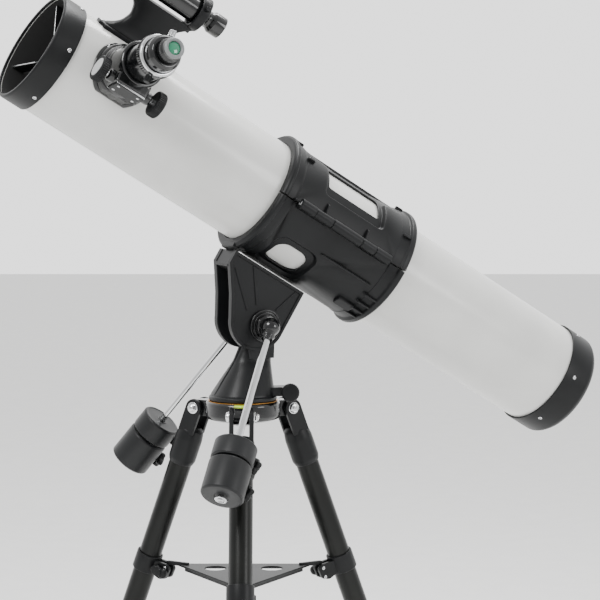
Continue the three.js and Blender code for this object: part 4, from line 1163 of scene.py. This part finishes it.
# Drawtube: black, with a fluted collar and a chromed band where the adapter screws on.
drawtube = turned(
    "drawtube_barrel", [[25.3, 66], [27, 66], [27, COLLAR_TOP - 14], [25.3, COLLAR_TOP - 14]],
    focus_frame, 0.3, 96, ring=True)
fit(drawtube, "drawtube", gloss_black_enamel, "gloss_black", "drawtube")
collar = turned(
    "collar_ring",
    [[25.4, COLLAR_TOP - 13.7], [29.5, COLLAR_TOP - 13.7], [30.5, COLLAR_TOP - 12.4],
     [30.5, COLLAR_TOP - 4.6],
     [29.6, COLLAR_TOP - 4], [25.4, COLLAR_TOP - 4]], focus_frame, 0.6, 240, ring=True, flutes=(60, 0.7))
fit(collar, "drawtube", gloss_black_enamel, "gloss_black", "drawtube_collar")
chrome_band = turned(
    "collar_chrome_band",
    [[25.4, COLLAR_TOP - 4], [29.4, COLLAR_TOP - 4], [29.8, COLLAR_TOP - 3.2], [29.2, COLLAR_TOP - 1],
     [27, COLLAR_TOP],
     [25.4, COLLAR_TOP]], focus_frame, 0.5, 128, ring=True)
fit(chrome_band, "drawtube", chrome_plate, "chrome_steel")
adapter = turned(
    "adapter_barrel",
    [[16.3, COLLAR_TOP - 20], [24.4, COLLAR_TOP - 20], [24.4, COLLAR_TOP + 0.4], [25, COLLAR_TOP + 1.2],
     [25, COLLAR_TOP + 13], [24, COLLAR_TOP + 15], [21.6, COLLAR_TOP + 18.6], [20, COLLAR_TOP + 19],
     [16.3, COLLAR_TOP + 19]], focus_frame, 0.9, 128, ring=True)
fit(adapter, "drawtube", gloss_black_enamel, "gloss_black", "eyepiece_adapter")

# Eyepiece: a black barrel with a fluted grip, a grey rubber eye rim and a green-coated lens.
grey_rim = grained("grey_rubber_rim", ("#6A6C6D", "#767879"), (0.4, 0.5), 1, 0.03)
# Glass with a green anti-reflection coating, and a faint painted green glow standing in for the coating's
# reflection.
coated_glass = grained(
    "green_coated_glass", ("#0F5A41", "#177352"), (0.02, 0.05), 15, 0.002, Coat_Weight=1.0,
    Coat_Roughness=0.02,
    Emission_Color=linear("#1D8B63"), Emission_Strength=0.12)
eyepiece = turned(
    "eyepiece_barrel",
    [[12, COLLAR_TOP - 4], [15.8, COLLAR_TOP - 4], [15.8, COLLAR_TOP + 19.2], [17, COLLAR_TOP + 19.6],
     [17, COLLAR_TOP + 29], [15.4, COLLAR_TOP + 31.4], [14.5, COLLAR_TOP + 33], [14.5, COLLAR_TOP + 38],
     [10, COLLAR_TOP + 38], [9.6, COLLAR_TOP + 30], [12, COLLAR_TOP + 28]],
    focus_frame, 0.7, 160, ring=True, flutes=(40, 0.5))
fit(eyepiece, "eyepiece", gloss_black_enamel, "gloss_black", "eyepiece")
eye_rim = turned(
    "eyepiece_rim",
    [[9.6, COLLAR_TOP + 37], [14.6, COLLAR_TOP + 37], [14.6, COLLAR_TOP + 40.4], [13, COLLAR_TOP + 41.9],
     [11.4, COLLAR_TOP + 41.9], [9.6, COLLAR_TOP + 40]], focus_frame, 0.8, 96, ring=True)
fit(eye_rim, "eyepiece", grey_rim, "black_abs")
lens = turned(
    "eyepiece_lens",
    [[0, COLLAR_TOP + 33], [9.7, COLLAR_TOP + 33], [9.7, COLLAR_TOP + 38.2], [7.4, COLLAR_TOP + 39.4],
     [4, COLLAR_TOP + 40.2], [0, COLLAR_TOP + 40.5]], focus_frame, 1.2, 64)
fit(lens, "eyepiece", coated_glass, "coated_glass", "eye_lens")

for name, body, z, reach, stem, material, turn in (
        ("adapter_thumbscrew", "adapter_thumbscrew", COLLAR_TOP + 8, 27, 16.8, zinc_screw, 90),
        ("drawtube_thumbscrew", "drawtube_thumbscrew", COLLAR_TOP - 7, 32, 25.8, moulded_black_abs, -90)):
    place = moved(moved(focus_frame, (0, 0, z)), turn="x", degrees=turn)
    head = turned(
        f"{name}_head", [[0, reach], [4.2, reach], [5, reach + 1], [5, reach + 9], [4.2, reach + 10],
                         [0, reach + 10]],
        place, 0.4, 120, flutes=(24, 0.7))
    fit(head, body, material, "chrome_steel", name)
    stem_piece = turned(
        f"{name}_stem", [[0, stem], [2, stem], [2, reach + 0.5], [0, reach + 0.5]], place, 0.2, 24)
    fit(stem_piece, body, zinc_screw, "chrome_steel")

# ---- Finder --------------------------------------------------------------------------------
# A flared moulded foot screwed to the tube carries two rings, and three nylon-tipped screws in
# each hold a small straight telescope with an objective hood and an eyepiece.

FINDER_TURN = 20
FINDER_RISE = 168
finder_frame = moved(tube_frame, (FOCUSER_X - 12, 0, 0), "x", -FINDER_TURN)
stalk = lofted(
    "finder_stalk",
    [[79, 0, 58, 14], [86, 0, 56, 14], [92, 0, 46, 11.5], [100, 0, 38, 9.5], [114, 0, 33, 9],
     [128, 0, 37, 10],
     [138, 0, 48, 11.5], [143, 0, 55, 12], [146, 0, 55, 12]], finder_frame, 4.0, corner=5)
fit(stalk, "tube", moulded_black_abs, "black_abs", "finder_bracket")
foot_outline = [(-66, -9), (-60, -9), (-58, -17), (58, -17), (60, -9), (66, -9), (66, 9), (60, 9), (58, 17),
                (-58, 17), (-60, 9), (-66, 9)]
foot = plate("finder_foot", foot_outline, finder_frame, 78.2, 84.4, 1.4, 2)
fit(foot, "tube", moulded_black_abs, "black_abs")
foot_screws = [moved(finder_frame, (x, 0, 84.2)) for x in (-62, 62)]
screw_heads("finder_foot_screws", foot_screws, 3.2, 1.8, "tube")
finder_axis = moved(moved(finder_frame, (0, 0, FINDER_RISE)), **TO_X)
for side, x in (("front", 48), ("rear", -48)):
    ring = turned(
        f"finder_ring_{side}", [[21, x - 7], [26, x - 7], [26, x + 7], [21, x + 7]], finder_axis, 1.2, 96,
        ring=True)
    fit(ring, "tube", moulded_black_abs, "black_abs")
    for number, degrees in enumerate((60, 180, 300)):
        place = moved(moved(moved(finder_frame, (x, 0, FINDER_RISE)), turn="x", degrees=degrees))
        screw = turned(
            f"finder_screw_{side}_{number + 1}",
            [[0, 17.2], [1.8, 17.2], [1.8, 27], [4, 27.6], [4, 31.4], [3.4, 32], [0, 32]], place, 0.3, 96,
            flutes=(16, 0.5))
        fit(screw, "tube", moulded_black_abs, "black_abs")
finder = turned(
    "finder_body",
    [[14, -88], [16, -88], [16, -71], [12.5, -66], [12.5, -62], [17, -56], [17, 60], [20, 64.5], [20, 92],
     [18, 92],
     [18, 66], [15, 60], [15, -54], [10.5, -60], [10.5, -66], [14, -72]], finder_axis, 1.0, 128, ring=True)
fit(finder, "tube", gloss_black_enamel, "gloss_black", "finder_tube")
objective = turned(
    "finder_objective", [[0, 76], [18.1, 76], [18.1, 80], [12, 81.6], [5, 82.4], [0, 82.6]], finder_axis,
    1.5, 96)
fit(objective, "tube", coated_glass, "coated_glass")
ocular = turned(
    "finder_ocular", [[0, -84], [5, -83.8], [14.1, -82.4], [14.1, -79], [0, -79]], finder_axis, 1.0, 64)
fit(ocular, "tube", coated_glass, "coated_glass")

# ---- Hidden steel and leftovers --------------------------------------------------------------
# The spindle, axle and hinge pin are plain ground steel, hidden but for their ends, and the
# secondary mirror's holder is flat black.

for node, material in (
        ("azimuth_spindle", zinc_screw), ("altitude_axle", zinc_screw), ("cradle_hinge_pin", zinc_screw),
        ("secondary_holder", flat_black_lining)):
    mesh = frame["nodes"][node].data
    mesh.materials.clear()
    mesh.materials.append(material)
